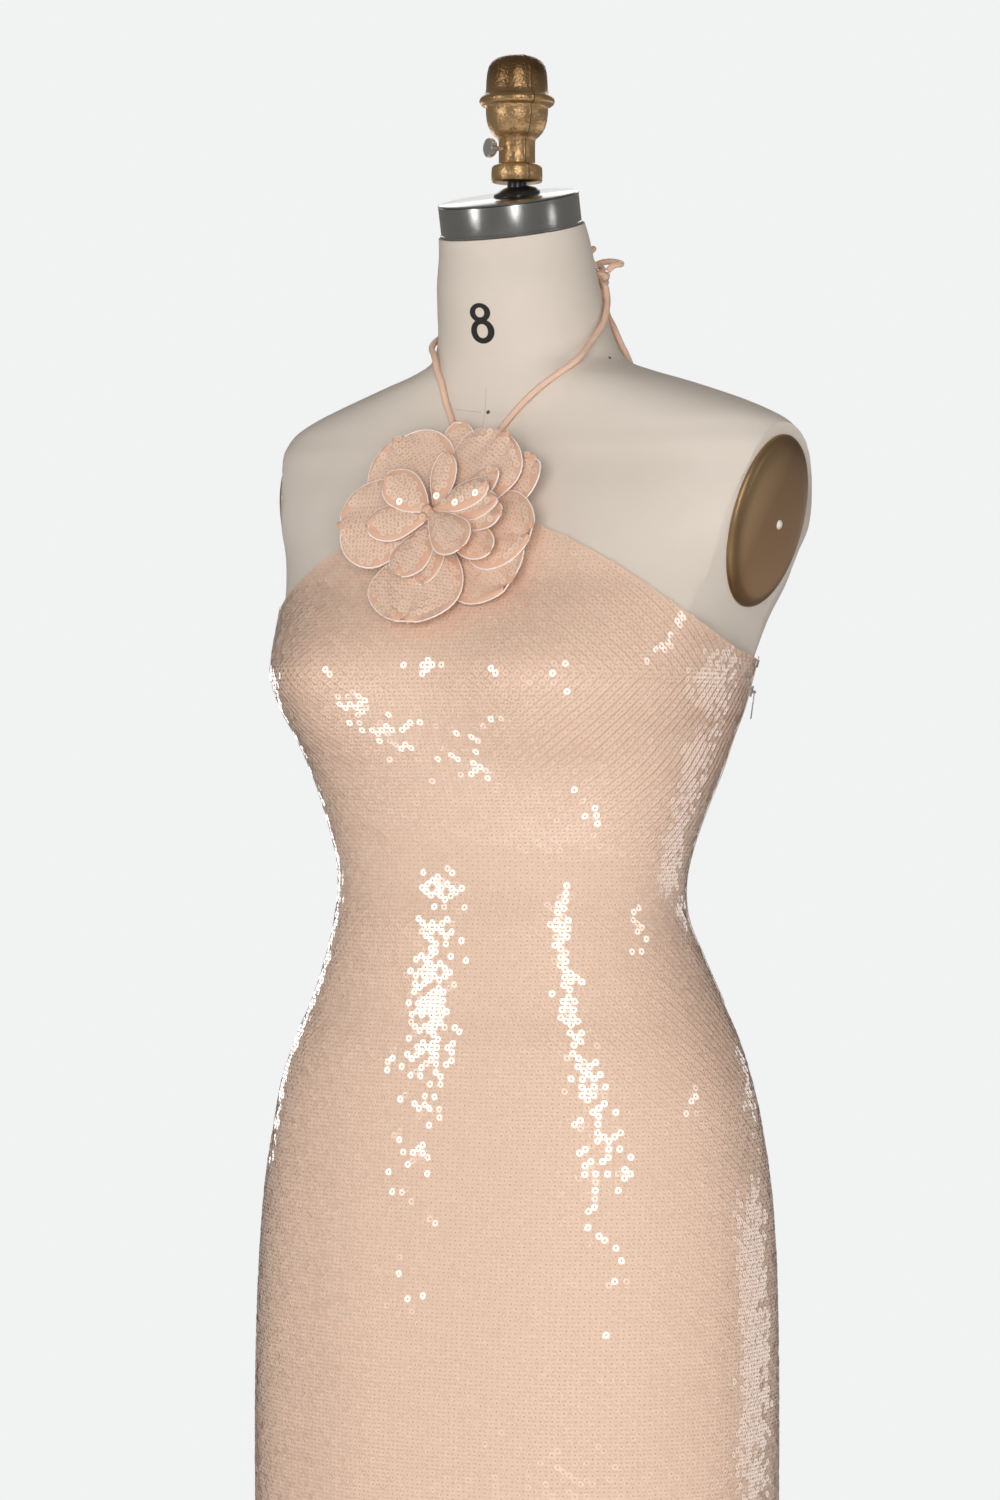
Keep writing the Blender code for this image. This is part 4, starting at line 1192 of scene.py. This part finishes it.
def make_neck_hardware():
    """The steel cap on the neck, and the black post through it."""
    place = frame_matrix((0, NECK_CENTRE_Y, NECK_TOP), (1, 0, 0), (0, -NECK_LEAN, 1))
    profile = (
        (CAP_RADIUS + 0.1, 0.3),
        (CAP_RADIUS + 0.6, 0.6),
        (CAP_RADIUS + 0.6, 1.8),
        (CAP_RADIUS, 2.2),
        (CAP_RADIUS, CAP_HEIGHT - CAP_EDGE),
        (CAP_RADIUS - 0.35, CAP_HEIGHT - 0.35),
        (CAP_RADIUS - CAP_EDGE, CAP_HEIGHT),
    )
    in_place("neck_cap", lathe(profile, 96, place), "steel", "brushed_steel")
    # A thin black ring round the cap's top edge is painted shade for the dark line under its rim.
    edge = CAP_HEIGHT - CAP_EDGE
    ring = [place @ Vector((CAP_RADIUS * c, CAP_RADIUS * s, edge)) for c, s in circle(96)]
    extra("cap_edge_painted_shade", tube(ring, CAP_SHADE_RING, 6, closed=True), "rod_black", "black_steel")
    top = place @ Vector((0, 0, CAP_HEIGHT + 0.3))
    rings = []
    for radius, lift in POST:
        ring = [(radius * c, radius * s) for c, s in circle(48)]
        rings.append([Vector((x, y, top.z + (y - top.y) * NECK_LEAN + lift)) for x, y in ring])
    rings.append([Vector((p.x, p.y, ROD_TOP)) for p in rings[-1]])
    in_place("neck_post", stacked(rings), "rod_black", "black_steel")


def cast_wave(turn, height):
    """The casting's fine parting line on each side, and its slightly uneven skin."""
    away = min(abs((math.degrees(turn) - CASTING_TURN - half + 180) % 360 - 180) for half in (0, 180))
    uneven = noise.noise(Vector((3 * math.cos(turn), 3 * math.sin(turn), height / 9)))
    return 1 + CASTING_RIDGE * math.exp(-((away / CASTING_WIDTH) ** 2)) + CASTING_SKIN * uneven


def make_finial():
    """The cast finial with its parting lines, and the thumb screw that holds it."""
    in_place("finial", lathe(FINIAL, 180, None, cast_wave), "gold", "cast_gold", 70)
    lines = []
    for half in (0, 180):
        turn = math.radians(CASTING_TURN + half)
        line = []
        for radius, height in FINIAL[1:-1]:
            r = radius * cast_wave(turn, height)
            a = turn + CASTING_WANDER * noise.noise(Vector((half, 0, height / 3)))
            line.append(Vector((r * math.cos(a), r * math.sin(a), height)))
        lines.append(tube(line, CASTING_LINE, 6))
    extra("casting_lines", joined(lines), "gold_line", "cast_gold")
    turn = math.radians(THUMB_TURN)
    place = frame_matrix((0, 0, THUMB_HEIGHT), (0, 0, 1), (math.cos(turn), math.sin(turn), 0))
    collar = next(radius for radius, height in FINIAL if height >= THUMB_HEIGHT)
    profile = [(radius, collar + out) for radius, out in THUMB_SCREW]

    def knurled(a, height):
        return 1 + (KNURL_DEPTH * math.cos(KNURLS * a) if height > collar + KNURLS_FROM else 0)

    in_place("thumb_screw", lathe(profile, KNURLS * 6, place, knurled), "steel_plain", "brushed_steel", 35)


POLE_RADIUS = 12.5
POLE_FOOT = 64
BASE = (
    # radius, height
    (200, 0), (200, 7.4), (199.4, 8.8), (196, 10.6), (150, 12.6), (90, 14.4), (50, 15.6),
    (40, 16.8), (34, 19.4), (28, 26), (24.5, 38), (22, 54), (21, 61), (20, 63.4), (18, 64),
)


def make_stand():
    """The round iron base and the steel pole."""
    in_place("stand_base", lathe(BASE, 120), "iron", "stand_iron", 40)
    pole = [(POLE_RADIUS, POLE_FOOT + 0.3), (POLE_RADIUS, FORM_BOTTOM - 0.3)]
    in_place("stand_pole", lathe(pole, 48), "steel_plain", "brushed_steel")


make_torso()
make_form_seams()
make_number()
make_pins()
make_arm_plates()
make_neck_hardware()
make_finial()
make_stand()


# ---------------------------------------------------------------- the zip
ZIP_LENGTH = 230
ZIP_HALF_WIDTH = 1.7
ZIP_THICK = 0.6
SLIDER_BELOW_TOP = 21
SLIDER_SIZE = (4.2, 1.3, 7.4)
PIN_OUT = 1.35
PIN_RADIUS = 0.4
PIN_COVER = 0.3
LUG_INSIDE = 1.1
LUG_THICK = 0.8
LUG_DEEP = 1.1
PULL_LENGTH = 18
PULL_WIDTH = 3.0
PULL_THICK = 0.7
PULL_SHOULDER = 2.8
PULL_LEAN = 8
HEAD_RADIUS = 1.1
EYE_RADIUS = 0.65
TOOTH_STEP = 1.5
# Heights and half widths.
TOOTH = ((-0.5, 0.55), (-0.35, 0.65), (0.35, 0.65), (0.5, 0.55))
STOP = ((-2.6, 0.55), (-2.2, 0.7), (2.2, 0.7), (2.6, 0.55))
TOOTH_ASIDE = 0.35
STOP_ASIDE = 0.95
ZIP_AWAY = GOWN_CLEARANCE + GOWN_WALL + 0.3
PLATE_BEVEL = 0.25
PLATE_EDGE = 0.2


def rounded_plate(place, half_widths, thick, low_out):
    """A flat plate with a bevelled edge through rows of (height, half width) in a frame's XY."""
    outline = [(half, y) for y, half in half_widths] + [(-half, y) for y, half in reversed(half_widths)]
    middle = sum(y for _, y in outline) / len(outline)
    low, high = low_out, low_out + thick
    levels = ((PLATE_BEVEL, low), (0, low + PLATE_EDGE), (0, high - PLATE_EDGE), (PLATE_BEVEL, high))
    rings = []
    for shrink, out in levels:
        ring = []
        for x, y in outline:
            inward = Vector((-x, middle - y, 0)).normalized() * shrink
            ring.append(place @ (Vector((x, y, out)) + inward))
        rings.append(ring)
    return stacked(rings)


def seam_place(height, away):
    """A frame on the seam at a height: X level round the gown, Y up it and Z out of it."""
    out = figure_normal(SEAM_TURN, height)
    return frame_matrix(off_figure(SEAM_TURN, height, away), UP.cross(out), out)


def make_zip_tape():
    """The closed chain: two rows of small teeth on their tape, up the side seam."""
    heights = [*np.arange(UNDERARM - ZIP_LENGTH, UNDERARM + 1.9, 3), UNDERARM + 2]
    grids = []
    for out in (ZIP_AWAY + ZIP_THICK * 0.5, ZIP_AWAY):
        grid = []
        for height in heights:
            reach = Vector(figure_point(SEAM_TURN, height).xy).length
            spread = math.degrees(ZIP_HALF_WIDTH / reach)
            grid.append([off_figure(SEAM_TURN + spread * k, height, out) for k in (-1, -0.5, 0, 0.5, 1)])
        grids.append(grid)
    in_place("zip_tape", wall(*grids), "zip_tape", "zip_tape")
    parts = []
    for k, height in enumerate(np.arange(UNDERARM - ZIP_LENGTH + 2, UNDERARM - 1, TOOTH_STEP)):
        aside = TOOTH_ASIDE if k % 2 else -TOOTH_ASIDE
        place = seam_place(height, ZIP_AWAY + ZIP_THICK * 0.5) @ Matrix.Translation((aside, 0, 0))
        parts.append(rounded_plate(place, TOOTH, 0.5, -0.1))
    extra("zip_teeth", joined(parts), "zip_tape", "zip_tape", smooth=False)
    stops = []
    for aside in (-STOP_ASIDE, STOP_ASIDE):
        place = seam_place(UNDERARM - 3, ZIP_AWAY + 0.2) @ Matrix.Translation((aside, 0, 0))
        stops.append(rounded_plate(place, STOP, 1.1, 0))
    extra("zip_stops", joined(stops), "zip_stop", "zip_metal", sharp=30)


def make_slider(place):
    """The slider's body, with the two lugs and the pin that its pull tab hangs on."""
    width, thick, tall = SLIDER_SIZE
    half, up = width / 2, tall / 2
    body = (
        # height, half width: waisted, with its wide shoulders up
        (-up, half * 0.66),
        (-up + 0.5, half * 0.84),
        (-up + 2.2, half * 0.8),
        (0, half * 0.86),
        (up - 2.4, half),
        (up - 0.8, half * 0.94),
        (up - 0.2, half * 0.62),
        (up, half * 0.3),
    )
    parts = [rounded_plate(place, body, thick, 0)]
    top = thick + PIN_OUT + PIN_RADIUS + PIN_COVER
    for low in (-LUG_INSIDE - LUG_THICK, LUG_INSIDE):
        upright = place @ Matrix.Translation((low, 0, 0)) @ Matrix.Rotation(math.radians(90), 4, "Y")
        outline = ((-LUG_DEEP, 0), (-LUG_DEEP, -(top - 0.8)), (-LUG_DEEP * 0.5, -top), (LUG_DEEP * 0.5, -top))
        outline += ((LUG_DEEP, -(top - 0.8)), (LUG_DEEP, 0))
        rings = [[upright @ Vector((out, y, z)) for y, out in outline] for z in (0, LUG_THICK)]
        parts.append(stacked(rings))
    across = place.col[0].xyz.normalized()
    pin = place @ Vector((0, 0, thick + PIN_OUT))
    ends = [pin - across * (LUG_INSIDE + LUG_THICK), pin + across * (LUG_INSIDE + LUG_THICK)]
    parts.append(tube(ends, PIN_RADIUS, 16))
    in_place("zip_slider", joined(parts), "zip_nickel", "zip_metal", 30)


def make_pull(place):
    """The pull tab: an eye on the pin, a narrow neck and a blade that widens a little."""
    across = place.col[0].xyz.normalized()
    pin = place @ Vector((0, 0, SLIDER_SIZE[1] + PIN_OUT))
    hang = axes_matrix(across, UP, across.cross(UP), pin) @ Matrix.Rotation(math.radians(PULL_LEAN), 4, "X")
    blade = (
        # height, half width
        (-PULL_LENGTH, PULL_WIDTH / 2 * 0.6),
        (-PULL_LENGTH + 0.5, PULL_WIDTH / 2 * 0.93),
        (-PULL_LENGTH + 1.3, PULL_WIDTH / 2),
        (-PULL_LENGTH + 6, PULL_WIDTH / 2 * 0.96),
        (-PULL_SHOULDER - 3, PULL_WIDTH / 2 * 0.84),
        (-PULL_SHOULDER - 1, PULL_WIDTH / 2 * 0.76),
        (-PULL_SHOULDER, 0.66),
        (-HEAD_RADIUS + 0.35, 0.62),
    )
    parts = [rounded_plate(hang, blade, PULL_THICK, -PULL_THICK / 2)]
    middle = (HEAD_RADIUS + EYE_RADIUS) / 2
    ring = [hang @ Vector((0, middle * c, middle * s)) for c, s in circle(24)]
    parts.append(tube(ring, (HEAD_RADIUS - EYE_RADIUS) / 2 + 0.05, 10, closed=True))
    in_place("zip_pull_tab", joined(parts), "zip_nickel", "zip_metal", 30, PULL)


def make_zip():
    make_zip_tape()
    at_slider = seam_place(UNDERARM - SLIDER_BELOW_TOP, GOWN_CLEARANCE + GOWN_WALL + ZIP_THICK + 0.6)
    make_slider(at_slider)
    make_pull(at_slider)


make_zip()


# ---------------------------------------------------------------- the studio, in metres
FLOOR_RADIUS = 3.4
FLOOR_SOLID_TO = 2.2
SKY_RADIUS = 30
WORLD = 0.2
LIGHTS = (
    # Narrow ones give the sequins and metal their glints, and soft ones light the cloth evenly.
    # name, azimuth, distance, centre height, width, height, watts, glint
    ("band_left", -31, 3.2, 1.87, 0.50, 1.5, 12, True),
    ("band_front", 35, 3.6, 2.35, 0.62, 2.3, 22, True),
    ("floor_left", -31, 1.1, 0.06, 0.5, 0.09, 0.6, True),
    ("floor_right", 50, 1.3, 0.1, 0.25, 0.2, 0.8, True),
    ("rim_left", -129, 3.0, 1.05, 1.0, 0.5, 4.5, True),
    ("rim_right_low", 143, 3.0, 0.48, 1.5, 0.8, 4.4, True),
    ("rim_right_high", 170, 3.0, 1.15, 1.0, 0.25, 1.1, True),
    ("side_right", 98, 3.0, 1.75, 0.35, 0.4, 1.6, True),
    ("back_top", 205, 3.0, 2.9, 2.5, 1.0, 14, True),
    ("soft_front", 22, 3.8, 1.35, 2.4, 1.6, 98, False),
    ("soft_low", 10, 3.0, 0.25, 1.8, 0.4, 6, False),
    ("soft_left", -55, 3.8, 1.2, 2.0, 1.6, 13, False),
    ("soft_right", 105, 3.8, 1.2, 2.0, 1.6, 25, False),
)
# The lights aim at this point of the object.
AIM = (0, 0, 1.1)


def make_lights():
    for name, azimuth, distance, height, width, tall, watts, glint in LIGHTS:
        data = bpy.data.lights.new(name, "AREA")
        data.shape = "RECTANGLE"
        data.size, data.size_y, data.energy = width, tall, watts
        item = add_object(name, data)
        a = math.radians(azimuth)
        item.location = (distance * math.sin(a), -distance * math.cos(a), height)
        aim = Vector(AIM) - item.location
        item.rotation_euler = aim.to_track_quat("-Z", "Y").to_euler()
        item.visible_camera = False
        item.visible_diffuse, item.visible_glossy = not glint, glint


def make_world():
    world = bpy.data.worlds.new("studio")
    world.use_nodes = True
    set_inputs(world.node_tree.nodes["Background"], {"Color": (1.0, 0.985, 0.965, 1), "Strength": WORLD})
    bpy.context.scene.world = world


def make_stage():
    """A pale floor that fades out before it shows in the picture, and a plain pale backdrop."""
    floor_look, shader = new_material("studio_floor")
    set_inputs(shader, {"Base Color": (0.80, 0.80, 0.80, 1), "Roughness": 0.9})
    length = add_node(floor_look, "ShaderNodeVectorMath", {}, {0: own_place(floor_look)})
    length.operation = "LENGTH"
    values = {"From Min": FLOOR_SOLID_TO, "From Max": FLOOR_RADIUS, "To Min": 1, "To Max": 0}
    fade = add_node(floor_look, "ShaderNodeMapRange", values, {"Value": length.outputs["Value"]})
    to_shader(floor_look, fade.outputs["Result"], "Alpha")
    ring = [(FLOOR_RADIUS / MM * c, FLOOR_RADIUS / MM * s, -0.5) for c, s in circle(96)]
    floor = add_object("studio_floor", surface("studio_floor", ring, [range(96)], smooth=False))
    floor.data.materials.append(floor_look)

    sky_look = bpy.data.materials.new("studio_backdrop")
    sky_look.use_nodes = True
    tree = sky_look.node_tree
    tree.nodes.clear()
    glow = tree.nodes.new("ShaderNodeEmission")
    glow.inputs["Color"].default_value = (0.885, 0.888, 0.892, 1)
    output = tree.nodes.new("ShaderNodeOutputMaterial")
    tree.links.new(glow.outputs["Emission"], output.inputs["Surface"])
    rise = np.linspace(-1.5, 1.5, 40)
    rows = [(SKY_RADIUS / MM * math.cos(a), SKY_RADIUS / MM * math.sin(a)) for a in rise]
    sky = add_object("studio_backdrop", surface("studio_backdrop", *lathe(rows, 48)))
    sky.data.materials.append(sky_look)
    sky.visible_diffuse = sky.visible_glossy = sky.visible_transmission = sky.visible_shadow = False


make_lights()
make_world()
make_stage()
bpy.context.scene.view_settings.view_transform = "Standard"
